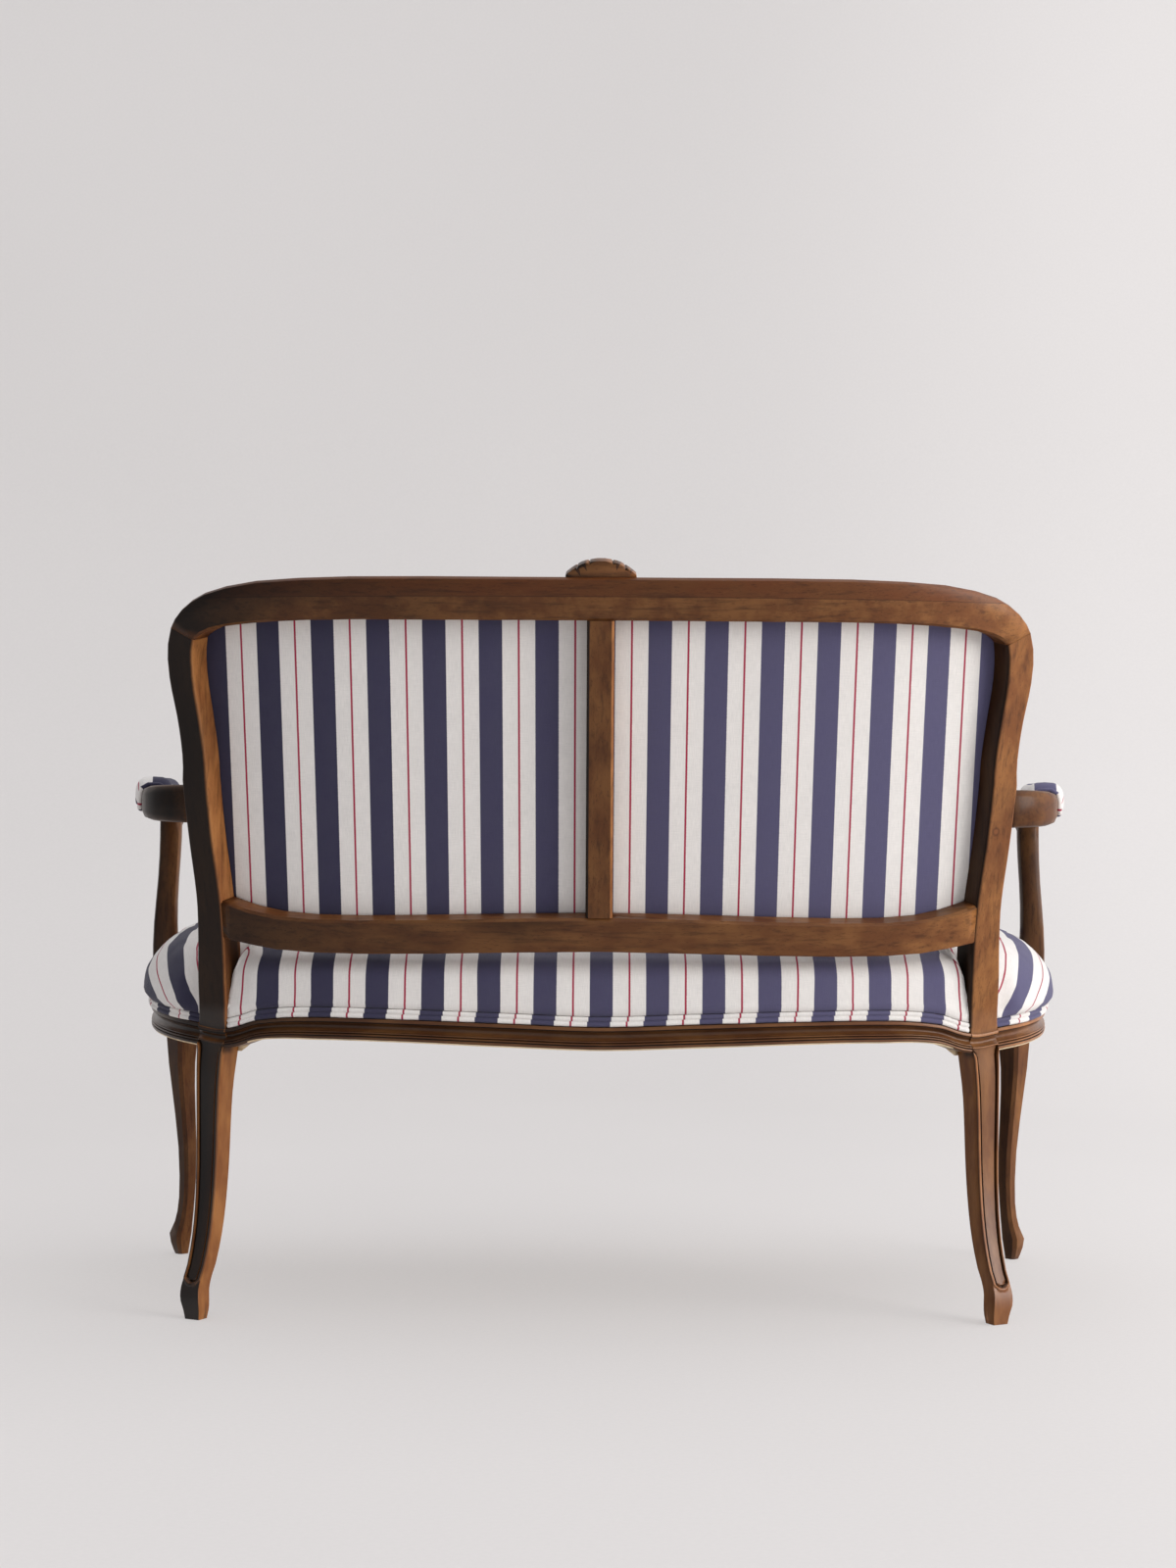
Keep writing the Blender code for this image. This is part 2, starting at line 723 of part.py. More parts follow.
DIAGONAL = math.sqrt(0.5)
front_leg_out = curve_through([(0.000, 0.0020), (0.012, 0.0045), (0.028, 0.0050),
                               (0.045, -0.0020), (0.070, -0.0080), (0.110, -0.0110),
                               (0.160, -0.0090), (0.220, -0.0010), (0.275, 0.0045),
                               (0.320, 0.0030), (RAIL_TOP, 0.0000)])
front_leg_side = curve_through([(0.000, 0.0160), (0.012, 0.0220), (0.028, 0.0262),
                                (0.045, 0.0220), (0.070, 0.0195), (0.110, 0.0205),
                                (0.160, 0.0228), (0.220, 0.0262), (0.275, 0.0315),
                                (0.318, 0.0370), (0.345, FRONT_LEG_SIDE),
                                (RAIL_TOP, FRONT_LEG_SIDE)])


def front_leg_ring(z, side):
    """Section of a front leg, its moulded face toward the outer front."""
    size = front_leg_side(z)
    shift = front_leg_out(z)
    line = front_line(0.56)
    centre = Vector((FRONT_LEG_X + shift * DIAGONAL, FRONT_LEG_Y + shift * DIAGONAL, z))
    out = Vector((DIAGONAL, DIAGONAL, 0.0))
    across_dir = Vector((-DIAGONAL, DIAGONAL, 0.0))
    half = size / 2
    soft = min(ROUNDING * 1.4, size * 0.2)
    ring = []
    for across in (0.0, 0.2, 0.5, 0.8, 1.0):
        v = min(max(across * size, soft), size - soft) - half
        ring.append(centre + out * (half - leg_relief(z, across, line)) + across_dir * v)
    edge = soft + leg_relief(z, 0.0, line)
    ring.append(centre + out * (half - edge) + across_dir * half)
    ring.append(centre - out * (half - soft) + across_dir * half)
    ring.append(centre - out * half + across_dir * (half - soft))
    ring.append(centre - out * half - across_dir * (half - soft))
    ring.append(centre - out * (half - soft) - across_dir * half)
    ring.append(centre + out * (half - edge) - across_dir * half)
    return [Vector((side * p.x, p.y, p.z)) for p in ring]


def front_leg_heights():
    line = front_line(0.56)
    heights = leg_heights([0.0, 0.006, 0.016, 0.028, 0.039, 0.046, 0.060, 0.080, 0.110,
                           0.150, 0.195, 0.235], line)
    heights.extend([line + 0.001, RAIL_TOP])
    return heights


# Arms: out from the stile, then forward, ending in a scroll over the support

ARM_RUN = [(0.00, 0.4900, -0.0300, 0.0), (0.06, 0.5100, -0.0270, 0.0005),
           (0.14, 0.5350, -0.0130, 0.0), (0.22, 0.5510, 0.0100, -0.0010),
           (0.32, 0.5610, 0.0500, -0.0020), (0.44, 0.5680, 0.1000, -0.0040),
           (0.56, 0.5740, 0.1600, -0.0060), (0.68, 0.5790, 0.2200, -0.0070),
           (0.80, 0.5830, 0.2850, -0.0060), (0.88, 0.5850, 0.3350, -0.0060),
           (0.94, 0.5860, 0.3700, -0.0130), (1.00, 0.5860, 0.3860, -0.0300)]
arm_x = curve_through([(t, x) for t, x, y, z in ARM_RUN])
arm_y = curve_through([(t, y) for t, x, y, z in ARM_RUN])
arm_rise = curve_through([(t, z) for t, x, y, z in ARM_RUN])
arm_deep = curve_through([(0.0, 0.0470), (0.12, 0.0455), (0.30, ARM_DEEP), (0.45, 0.0340),
                          (0.80, 0.0330), (0.93, 0.0340), (1.0, 0.0300)])
arm_wide = curve_through([(0.0, 0.0240), (0.20, ARM_WIDE), (0.45, 0.0270), (0.75, 0.0270),
                          (0.90, 0.0330), (1.0, 0.0280)])
PAD_SINK = 0.0110


def arm_centre(t):
    """Middle of the arm's section, whose top runs at the arm's height."""
    return Vector((arm_x(t), arm_y(t), ARM_TOP + arm_rise(t) - arm_deep(t) / 2))


def arm_side(t):
    step = 0.01
    ahead = arm_centre(min(t + step, 1.0))
    behind = arm_centre(max(t - step, 0.0))
    run = ahead - behind
    return Vector((run.y, -run.x, 0.0)).normalized()


def arm_param(y):
    """Place along the arm at a distance forward, past its bend."""
    low, high = 0.2, 1.0
    for _ in range(40):
        middle = (low + high) / 2
        if arm_y(middle) < y:
            low = middle
        else:
            high = middle
    return low


def rounded_section(wide, deep, soft, count=3):
    """Rounded rectangle as (across, up) points."""
    points = []
    for cx, cz, start in ((1, 1, 0), (-1, 1, 90), (-1, -1, 180), (1, -1, 270)):
        for i in range(count):
            angle = math.radians(start + 90 * i / (count - 1))
            points.append((cx * (wide / 2 - soft) + soft * math.cos(angle),
                           cz * (deep / 2 - soft) + soft * math.sin(angle)))
    return points


def arm_ring(t, side):
    centre = arm_centre(t)
    out = arm_side(t)
    wide = arm_wide(t)
    deep = arm_deep(t)
    start = arm_param(ARM_PAD_START)
    end = arm_param(ARM_PAD_END)
    under_pad = ramp(start - 0.012, start - 0.004, t) * (1 - ramp(end + 0.004, end + 0.012, t))
    soft = min(wide, deep) * 0.34
    ring = []
    for u, w in rounded_section(wide, deep, soft):
        drop = PAD_SINK * under_pad if w > 0 else 0.0
        w = min(w, deep / 2 - drop) if w > 0 else w
        ring.append(centre + out * u + Vector((0, 0, w)))
    return [Vector((side * p.x, p.y, p.z)) for p in ring]


PAD_SPANS = 5


def pad_stations():
    """Places along the arm under its pad."""
    start = arm_param(ARM_PAD_START)
    end = arm_param(ARM_PAD_END)
    places = [0.0, 0.05] + [i / PAD_SPANS for i in range(1, PAD_SPANS)] + [0.95, 1.0]
    return [start + (end - start) * place for place in places]


def arm_stations():
    """Places along the arm, closer where it bends and beside the pad's seat."""
    start = arm_param(ARM_PAD_START)
    end = arm_param(ARM_PAD_END)
    stations = [start * i / 8 for i in range(8)]
    stations.extend([start - 0.013, start - 0.003])
    stations.extend(pad_stations())
    stations.extend([end + 0.003, end + 0.013])
    stations.extend([end + 0.013 + (1.0 - end - 0.013) * i / 6 for i in range(1, 7)])
    return stations


def arm_rings(side):
    rings = [arm_ring(t, side) for t in arm_stations()]
    tip = sum(rings[-1], Vector()) / len(rings[-1])
    nose = tip + Vector((0, 0.004, -0.004))
    rings.append([nose + (p - tip) * 0.72 for p in rings[-1]])
    nose = tip + Vector((0, 0.006, -0.007))
    rings.append([nose + (p - tip) * 0.30 for p in rings[-2]])
    return rings


# Arm supports: from the side rail up into the arm

support_y = curve_through([(0.362, SUPPORT_FOOT_Y), (0.410, SUPPORT_FOOT_Y - 0.007),
                           (0.460, SUPPORT_FOOT_Y - 0.012), (0.510, SUPPORT_FOOT_Y - 0.008),
                           (0.560, SUPPORT_FOOT_Y + 0.004), (0.600, SUPPORT_FOOT_Y + 0.016),
                           (0.640, SUPPORT_FOOT_Y + 0.022)])
support_x = curve_through([(0.362, 0.5845), (0.460, 0.5850), (0.560, 0.5820), (0.640, 0.5840)])
support_wide = curve_through([(0.362, SUPPORT_WIDE + 0.004), (0.430, SUPPORT_WIDE + 0.003),
                              (0.520, SUPPORT_WIDE - 0.003), (0.590, SUPPORT_WIDE - 0.002),
                              (0.640, SUPPORT_WIDE - 0.002)])


def support_ring(z, shrink):
    centre = Vector((support_x(z), support_y(z), z))
    wide = support_wide(z) - shrink
    deep = SUPPORT_DEEP - shrink + 0.004 * (1 - ramp(0.37, 0.45, z))
    ring = []
    for u, v in rounded_section(wide, deep, min(wide, deep) * 0.25):
        ring.append(centre + Vector((u, v, 0)))
    return ring


def support_rings(side):
    """The foot is housed in the side rail and the head has a tenon into the arm."""
    t = arm_param(support_y(0.610))
    shoulder = ARM_TOP + arm_rise(t) - arm_deep(t) + 0.0020
    heights = [0.3665, 0.385, 0.410, 0.440, 0.470, 0.500, 0.530, 0.560, 0.585, 0.602]
    sections = [(z, 0.0) for z in heights]
    sections.extend([(shoulder, 0.0), (shoulder + 0.0004, 0.014), (shoulder + 0.018, 0.014)])
    rings = []
    for z, shrink in sections:
        ring = support_ring(z, shrink)
        rings.append([Vector((side * p.x, p.y, p.z)) for p in ring])
    return rings


# Upholstery

def corner_run():
    """Points round the head of the right front leg, with outward directions."""
    half = FRONT_LEG_SIDE / 2
    out = Vector((DIAGONAL, DIAGONAL, 0.0))
    across = Vector((-DIAGONAL, DIAGONAL, 0.0))
    middle = Vector((FRONT_LEG_X, FRONT_LEG_Y, 0.0)) + out * half
    return [(middle - across * (0.62 * half), Vector((0.92, 0.39, 0.0)).normalized()),
            (middle, out),
            (middle + across * (0.62 * half), Vector((0.39, 0.92, 0.0)).normalized())]


def seat_run():
    """Right half of the seat's edge: point, outward direction, height of the ledge."""
    run = []
    for x in REAR_STATIONS:
        point = rear_point(x, SEAT_LINE)
        out = Vector((bow_slope(x), -1.0, 0.0)).normalized()
        run.append((Vector((x, point.y, 0.0)), out, mould_line_rear(x)))
    for t in SIDE_STATIONS[1:-1]:
        run.append((Vector((side_x(t), side_y(t), 0.0)), side_outward(t), mould_line_side(t)))
    line = front_line(0.56)
    for point, out in corner_run():
        run.append((point, out, line))
    for x in reversed(FRONT_STATIONS[:-1]):
        run.append((Vector((x, front_y(x), 0.0)), front_outward(x), front_line(x)))
    return run


def seat_outline():
    """Whole edge of the seat, from the middle of the rear round to the left."""
    run = seat_run()
    mirrored = []
    for point, out, base in reversed(run[1:-1]):
        mirrored.append((Vector((-point.x, point.y, 0.0)), Vector((-out.x, out.y, 0.0)), base))
    return run + mirrored


def make_leg_rebate(side):
    """Cutter that takes the ledge for the seat's cover round the head of a front leg."""
    run = seat_run()
    low = len(REAR_STATIONS) + len(SIDE_STATIONS) - 6
    high = low + 10
    rings = []
    for point, out, base in run[low:high]:
        near = point - out * (REBATE_SEAT + FIT)
        far = point + out * 0.040
        ring = []
        for p, z in ((near, base), (far, base), (far, RAIL_TOP + 0.02), (near, RAIL_TOP + 0.02)):
            ring.append(Vector((side * p.x, p.y, z)))
        rings.append(ring)
    return as_cutter(loft("leg_rebate_%d" % (side + 1), rings, RAW_WOOD))


WEB_LEVEL = RAIL_TOP + FIT
PAD_UNDER = WEB_LEVEL + 3 * WEB_THICK + HESSIAN_THICK + 5 * FIT


def make_seat_pad(cutters):
    outline = seat_outline()
    clear = 4 * CORD_RADIUS + 2 * CLOTH_FIT + FIT
    middle = Vector((0.0, 0.215, 0.0))
    columns = []
    for point, out, ledge in outline:
        rear = 1.0 if point.y < 0.0 and abs(point.x) < 0.47 else 0.0
        base = ledge + clear
        top = SEAT_EDGE_TOP - 0.012 * rear
        column = []
        inset = REBATE_SEAT - CLOTH_FIT
        bulge = SEAT_BULGE * (1.0 - 0.55 * rear)
        rise = top - base
        side_profile = [(0.0020, 0.0), (-0.65 * bulge, 0.20), (-bulge, 0.50),
                        (-0.70 * bulge, 0.78), (0.010, 1.04)]
        for back, up in side_profile:
            p = point - out * back
            column.append(Vector((p.x, p.y, base + rise * up)))
        reach = (middle - point)
        edge = column[-1].copy()
        for part in (0.12, 0.30, 0.52, 0.76):
            p = Vector((edge.x, edge.y, 0.0)) + reach * part * 0.96
            lift = math.sin(part * math.pi / 2)
            column.append(Vector((p.x, p.y, edge.z + (SEAT_CROWN - edge.z) * lift)))
        under = []
        p = point - out * inset
        under.append(Vector((p.x, p.y, base)))
        under.append(Vector((p.x, p.y, PAD_UNDER)))
        q = Vector((p.x, p.y, 0.0)) + reach * 0.5
        under.append(Vector((q.x, q.y, PAD_UNDER)))
        columns.append((column, under))
    mesh = bpy.data.meshes.new("seat_pad")
    bm = bmesh.new()
    count = len(columns)
    chains = []
    for column, under in columns:
        chain = list(reversed(under)) + column
        chains.append([bm.verts.new(p) for p in chain])
    for i in range(count):
        a = chains[i]
        b = chains[(i + 1) % count]
        for j in range(len(a) - 1):
            bm.faces.new((a[j], a[j + 1], b[j + 1], b[j]))
    crown = bm.verts.new((0.0, middle.y, SEAT_CROWN + 0.0008))
    floor = bm.verts.new((0.0, middle.y, PAD_UNDER))
    for i in range(count):
        a = chains[i]
        b = chains[(i + 1) % count]
        bm.faces.new((a[-1], crown, b[-1]))
        bm.faces.new((a[0], b[0], floor))
    bmesh.ops.recalc_face_normals(bm, faces=bm.faces)
    bm.to_mesh(mesh)
    bm.free()
    pad = finish_object("seat_pad", mesh, STRIPED_CLOTH)
    for cutter in cutters:
        boolean(pad, cutter, "DIFFERENCE")
    return pad


def twin_cord_section():
    """Section of a double welt: two cords side by side, as (out, up) points."""
    r = CORD_RADIUS
    points = []
    for centre, start, end in ((r, -20, 200), (-r, 160, 380)):
        for i in range(3):
            angle = math.radians(start + (end - start) * i / 2)
            points.append((r * math.cos(angle), centre + r * math.sin(angle)))
    return points


def make_seat_welt(name, run):
    """Double welt along a run of (point, out, height of the ledge)."""
    rings = []
    section = twin_cord_section()
    for point, out, base in run:
        centre = point - out * (CORD_RADIUS + 0.0006)
        z = base + 2 * CORD_RADIUS + CLOTH_FIT + 0.0004
        ring = []
        for u, w in section:
            ring.append(Vector((centre.x, centre.y, z)) + out * u + Vector((0, 0, w)))
        rings.append(ring)
    return loft(name, rings, WELT_CLOTH)


def run_rear_welt(stop):
    run = []
    xs = [x for x in REAR_STATIONS if x < stop] + [stop]
    for x in [-x for x in reversed(xs[1:])] + xs:
        point = rear_point(x, SEAT_LINE)
        out = Vector((bow_slope(x), -1.0, 0.0)).normalized()
        run.append((Vector((x, point.y, 0.0)), out, mould_line_rear(x)))
    return run


def run_side_welt(side, start, end):
    run = []
    places = [start] + [t for t in SIDE_STATIONS if start < t < end] + [end]
    for t in places:
        out = side_outward(t)
        point = Vector((side * side_x(t), side_y(t), 0.0))
        run.append((point, Vector((side * out.x, out.y, 0.0)), mould_line_side(t)))
    return run


def run_front_welt(side_start):
    right = run_side_welt(1, side_start, 0.901)[:-1]
    right.extend(seat_run()[len(REAR_STATIONS) + len(SIDE_STATIONS) - 2:])
    left = []
    for point, out, base in right[:-1]:
        left.append((Vector((-point.x, point.y, 0)), Vector((-out.x, out.y, 0)), base))
    return right + list(reversed(left))


def opening_loop(grow):
    """Outline of the back's opening as x and z, grown outward."""
    loop = [inner for inner, outer in CREST_RUN]
    loop.extend(inner for inner, outer in reversed(STILE_SHOULDER[:-1]))
    for z in reversed(stile_heights()):
        if z > 0.53:
            loop.append((stile_inner(z), z))
    loop.append((stile_inner(0.530), 0.530))
    loop.append((0.4620, back_rail_top(0.462) + 0.0040))
    for x in reversed(BACK_RAIL_STATIONS[:-1]):
        loop.append((x, back_rail_top(x)))
    mirrored = [(-x, z) for x, z in reversed(loop[1:-1])]
    loop = loop + mirrored
    grown = []
    count = len(loop)
    for i, (x, z) in enumerate(loop):
        before = loop[i - 1]
        after = loop[(i + 1) % count]
        dx = after[0] - before[0]
        dz = after[1] - before[1]
        length = math.hypot(dx, dz)
        nx, nz = -dz / length, dx / length
        grown.append((x + nx * grow, z + nz * grow))
    return grown


def back_surface(x, z, depth):
    return rear_point(x, z) + inward(x, z) * depth


BACK_MIDDLE = (BACK_RAIL_TOP + CREST_LOW) / 2


def nested(loop, scale):
    """The loop drawn in toward the middle of the back."""
    return [(x * scale, BACK_MIDDLE + (z - BACK_MIDDLE) * scale) for x, z in loop]


def fill_columns(bm, row):
    """Close a loop by upright columns, since the back bows across but is straight upward."""
    count = len(row)
    low = count // 2
    columns = len(BACK_RAIL_STATIONS) - 2
    for k in range(-columns, columns):
        bm.faces.new((row[k], row[k + 1], row[low - k - 1], row[low - k]))
    bm.faces.new(row[columns:low - columns + 1])
    bm.faces.new(row[low + columns:count - columns + 1])


def layered(name, near, far, material):
    """Closed body between two faces, each a list of (share of the opening, depth)."""
    loop = opening_loop(REBATE_WIDE - BACK_INSET)
    count = len(loop)
    mesh = bpy.data.meshes.new(name)
    bm = bmesh.new()
    faces = []
    for steps in (near, far):
        rows = []
        for scale, depth in steps:
            rows.append([bm.verts.new(back_surface(x, z, depth))
                         for x, z in nested(loop, scale)])
        for a, b in zip(rows, rows[1:]):
            for i in range(count):
                k = (i + 1) % count
                bm.faces.new((a[i], a[k], b[k], b[i]))
        fill_columns(bm, rows[-1])
        faces.append(rows[0])
    for i in range(count):
        k = (i + 1) % count
        bm.faces.new((faces[0][i], faces[0][k], faces[1][k], faces[1][i]))
    bmesh.ops.recalc_face_normals(bm, faces=bm.faces)
    bm.to_mesh(mesh)
    bm.free()
    return finish_object(name, mesh, material)


PANEL_DEPTH = FRAME_THICK - REBATE_DEEP + LAYER_GAP


def make_outside_cover():
    return layered("outside_back_cover", [(1.0, PANEL_DEPTH)],
                   [(1.0, PANEL_DEPTH + PANEL_THICK)], STRIPED_CLOTH)


def make_back_pad():
    """Inside back pad: flat behind, crowned in front, drawn in at its edge."""
    near = PANEL_DEPTH + PANEL_THICK + WEB_THICK + 2 * LAYER_GAP
    front = []
    for share in (1.0, 0.97, 0.87, 0.68, 0.40):
        crown = (1 - share**5)**0.6
        front.append((share, BACK_PAD_EDGE + (BACK_PAD_CROWN - BACK_PAD_EDGE) * crown))
    return layered("back_pad", [(1.0, near)], front, STRIPED_CLOTH)


def make_back_welt():
    """Double welt that covers the tacked edge of the inside back, a closed ring."""
    loop = opening_loop(REBATE_WIDE + 2 * CORD_RADIUS + CLOTH_FIT)
    rings = []
    r = CORD_RADIUS
    count = len(loop)
    for i, (x, z) in enumerate(loop):
        before = loop[i - 1]
        after = loop[(i + 1) % count]
        tangent = Vector((after[0] - before[0], 0, after[1] - before[1])).normalized()
        across = Vector((-tangent.z, 0, tangent.x))
        depth = FRAME_THICK + FIT + r
        ring = []
        for u, w in twin_cord_section():
            px = x + across.x * w
            pz = z + across.z * w
            ring.append(back_surface(px, pz, depth + u))
        rings.append(ring)
    return loft("back_welt", rings, WELT_CLOTH, closed=True)


def make_strip(name, path, across, width, thick, material):
    """Flat strip along a path of (point, up) pairs, width along across."""
    rings = []
    for point, up in path:
        ring = []
        for u, n in ((-1, 0.0), (1, 0.0), (1, thick), (-1, thick)):
            ring.append(point + across * (u * width / 2) + up * n)
        rings.append(ring)
    return loft(name, rings, material)


def make_back_webbing():
    depth = PANEL_DEPTH + PANEL_THICK + LAYER_GAP
    for i, x in enumerate((-0.33, -0.13, 0.13, 0.33)):
        low = back_rail_top(x) - REBATE_WIDE + BACK_INSET
        high = CREST_LOW + REBATE_WIDE - BACK_INSET
        rings = []
        for k in range(4):
            z = low + (high - low) * k / 3
            ring = [back_surface(x + u * BACK_WEB_WIDE / 2, z, depth) for u in (-1, 0, 1)]
            ring.extend(back_surface(x + u * BACK_WEB_WIDE / 2, z, depth + WEB_THICK)
                        for u in (1, 0, -1))
            rings.append(ring)
        loft("back_webbing_%d" % (i + 1), rings, JUTE)


def web_positions():
    span = 0.96
    return [-span / 2 + span * (i + 0.5) / WEB_COUNT for i in range(WEB_COUNT)]


def make_seat_webbing():
    up = Vector((0, 0, 1))
    level = WEB_LEVEL + WEB_THICK + FIT
    for i, x in enumerate(web_positions()):
        edge = abs(x) + WEB_WIDE / 2
        rear = rear_point(edge, SEAT_LINE).y + REBATE_SEAT + 0.006
        front = front_y(edge) - REBATE_SEAT - 0.006
        path = []
        for y in (rear, front):
            path.append((Vector((x, y, WEB_LEVEL)), up))
        name = "seat_webbing_%d" % (i + 1)
        make_strip(name, path, Vector((1, 0, 0)), WEB_WIDE, WEB_THICK, JUTE)
    for j in range(WEB_CROSS_COUNT):
        y = 0.11 + 0.13 * j
        best = min(range(101), key=lambda i: abs(side_y(i / 100) - y + WEB_WIDE / 2))
        half = side_x(best / 100) - REBATE_SEAT - 0.007
        path = []
        for x in (-half, -half + 0.02, half - 0.02, half):
            path.append((Vector((x, y, level)), up))
        name = "seat_webbing_cross_%d" % (j + 1)
        make_strip(name, path, Vector((0, 1, 0)), WEB_WIDE, WEB_THICK, JUTE)


def make_hessian(cutters):
    """Hessian over the webbing, tacked on the tops of the rails."""
    mesh = bpy.data.meshes.new("seat_hessian")
    bm = bmesh.new()
    low = []
    high = []
    level = WEB_LEVEL + 2 * (WEB_THICK + FIT)
    for point, out, ledge in seat_outline()[::2]:
        p = point - out * (REBATE_SEAT + 0.007)
        low.append(bm.verts.new((p.x, p.y, level)))
        high.append(bm.verts.new((p.x, p.y, level + HESSIAN_THICK)))
    bm.faces.new(list(reversed(low)))
    bm.faces.new(high)
    for i in range(len(low)):
        j = (i + 1) % len(low)
        bm.faces.new((low[i], low[j], high[j], high[i]))
    bmesh.ops.recalc_face_normals(bm, faces=bm.faces)
    bm.to_mesh(mesh)
    bm.free()
    sheet = finish_object("seat_hessian", mesh, HESSIAN)
    for cutter in cutters:
        boolean(sheet, cutter, "DIFFERENCE")
    return sheet


def pad_section(t, ends):
    """Section of an arm pad astride the arm, as (across, height)."""
    half = ARM_PAD_WIDE / 2 * (1.0 - 0.45 * ends)
    half = max(half, arm_wide(t) / 2 + 0.0021)
    top = ARM_PAD_TOP + arm_rise(t) * 0.6 - 0.014 * ends
    hang = ARM_TOP + arm_rise(t) - ARM_PAD_HANG
    return [
        (half - 0.004, hang), (half, hang + 0.006),
        (half, (hang + top) / 2), (0.82 * half, top - 0.006), (0.45 * half, top - 0.001),
        (0.0, top), (-0.45 * half, top - 0.001), (-0.82 * half, top - 0.006),
        (-half, (hang + top) / 2), (-half, hang + 0.006), (-half + 0.004, hang),
    ]


def make_arm_pad(side, name, arm_cutter):
    start = arm_param(ARM_PAD_START)
    end = arm_param(ARM_PAD_END)
    rings = []
    for t in pad_stations():
        s = (t - start) / (end - start)
        from_end = min(s, 1 - s) * 12
        ends = max(0.0, 1 - from_end / 2.2)**2
        point = arm_centre(t)
        out = arm_side(t)
        ring = []
        for u, z in pad_section(t, ends):
            p = Vector((point.x, point.y, z)) + out * u
            ring.append(Vector((side * p.x, p.y, p.z)))
        rings.append(ring)
    pad = loft(name, rings, STRIPED_CLOTH)
    boolean(pad, arm_cutter, "DIFFERENCE")
    return pad


def make_arm_welt(side, name):
    """Single welt round the lower edge of an arm pad, a closed ring across the arm."""
    start = arm_param(ARM_PAD_START)
    end = arm_param(ARM_PAD_END)
    r = CORD_RADIUS
    reach = (arm_centre(end) - arm_centre(start)).length / (end - start)
    past = (r + 2 * CLOTH_FIT) / reach
    low = start - past
    high = end + past
    path = [(low + (high - low) * i / 6, 1.0, 0) for i in range(7)]
    path.extend([(high, 1.0, 1), (high, 0.88, 2), (high, 0.4, 3), (high, -0.4, 3),
                 (high, -0.88, 2), (high, -1.0, 1)])
    path.extend([(high + (low - high) * i / 6, -1.0, 0) for i in range(7)])
    path.extend([(low, -1.0, 1), (low, -0.88, 2), (low, -0.4, 3), (low, 0.4, 3),
                 (low, 0.88, 2), (low, 1.0, 1)])
    centres = []
    for t, hand, level in path:
        point = arm_centre(t)
        top = ARM_TOP + arm_rise(t)
        heights = (top - ARM_PAD_HANG - FIT - r, top - 0.5 * ARM_PAD_HANG,
                   top - 0.5 * r, top + r + FIT)
        offset = hand * (arm_wide(t) / 2 + CLOTH_FIT + r)
        centre = Vector((point.x, point.y, heights[level])) + arm_side(t) * offset
        centres.append(Vector((side * centre.x, centre.y, centre.z)))
    return loft(name, tube_rings(centres, r, 5), WELT_CLOTH, closed=True)


def tube_rings(centres, radius, sides):
    """Rings of a closed tube along centres, turned as little as possible."""
    count = len(centres)
    tangents = []
    for i in range(count):
        ahead = centres[(i + 1) % count]
        tangents.append((ahead - centres[i - 1]).normalized())
    normal = Vector((0, 0, 1)) - tangents[0] * tangents[0].z
    normal.normalize()
    normals = []
    for tangent in tangents:
        normal = (normal - tangent * normal.dot(tangent)).normalized()
        normals.append(normal.copy())
    closing = (normals[0] - tangents[0] * normals[0].dot(tangents[0])).normalized()
    carried = (normals[-1] - tangents[0] * normals[-1].dot(tangents[0])).normalized()
    twist = math.atan2(tangents[0].dot(carried.cross(closing)), carried.dot(closing))
    rings = []
    for i, (centre, tangent, normal) in enumerate(zip(centres, tangents, normals)):
        binormal = tangent.cross(normal)
        ring = []
        for k in range(sides):
            angle = 2 * math.pi * k / sides + twist * i / count
            ring.append(centre + normal * (radius * math.cos(angle))
                        + binormal * (radius * math.sin(angle)))
        rings.append(ring)
    return rings


def make_block(name, corners, cutters):
    """Three sided block glued in a corner of the seat frame."""
    rings = []
    for z in (BLOCK_LOW, BLOCK_LOW + BLOCK_TALL):
        rings.append([Vector((x, y, z)) for x, y in corners])
    block = loft(name, rings, RAW_WOOD)
    for cutter in cutters:
        boolean(block, cutter, "DIFFERENCE")
    return block


def core_rings(rings):
    """Inner part of a seat rail's sections, grown to the height that its blocks need."""
    cores = []
    for ring in rings:
        inner = ring[len(MOULD_STEPS)]
        outer = ring[len(MOULD_STEPS) + 2]
        out = Vector((outer.x - inner.x, outer.y - inner.y, 0.0)).normalized()
        near = inner - out * FIT
        far = inner + out * RAIL_THICK
        core = []
        for p, z in ((near, 0.28), (near, 0.45), (far, 0.45), (far, 0.28)):
            core.append(Vector((p.x, p.y, z)))
        cores.append(core)
    return cores


def make_stretcher(rear_core, front_core):
    """Rail from back to front under the middle of the seat."""
    half = STRETCHER_WIDE / 2
    rear = rear_point(0.0, SEAT_LINE).y + RAIL_THICK - 0.010
    front = front_y(0.0) - RAIL_THICK + 0.010
    rings = []
    for y in (rear, front):
        ring = []
        for x, z in ((-half, STRETCHER_LOW), (half, STRETCHER_LOW),
                     (half, STRETCHER_LOW + STRETCHER_TALL),
                     (-half, STRETCHER_LOW + STRETCHER_TALL)):
            ring.append(Vector((x, y, z)))
        rings.append(ring)
    stretcher = loft("seat_stretcher", rings, RAW_WOOD)
    boolean(stretcher, rear_core, "DIFFERENCE")
    boolean(stretcher, front_core, "DIFFERENCE")
    return stretcher


# Carved crest: a shell with lobes, flat behind, hooked over the crest rail

def carving_height(x):
    return CARVING_HIGH - (CARVING_HIGH - CARVING_STEP) * abs(x / CARVING_HALF)**2.3


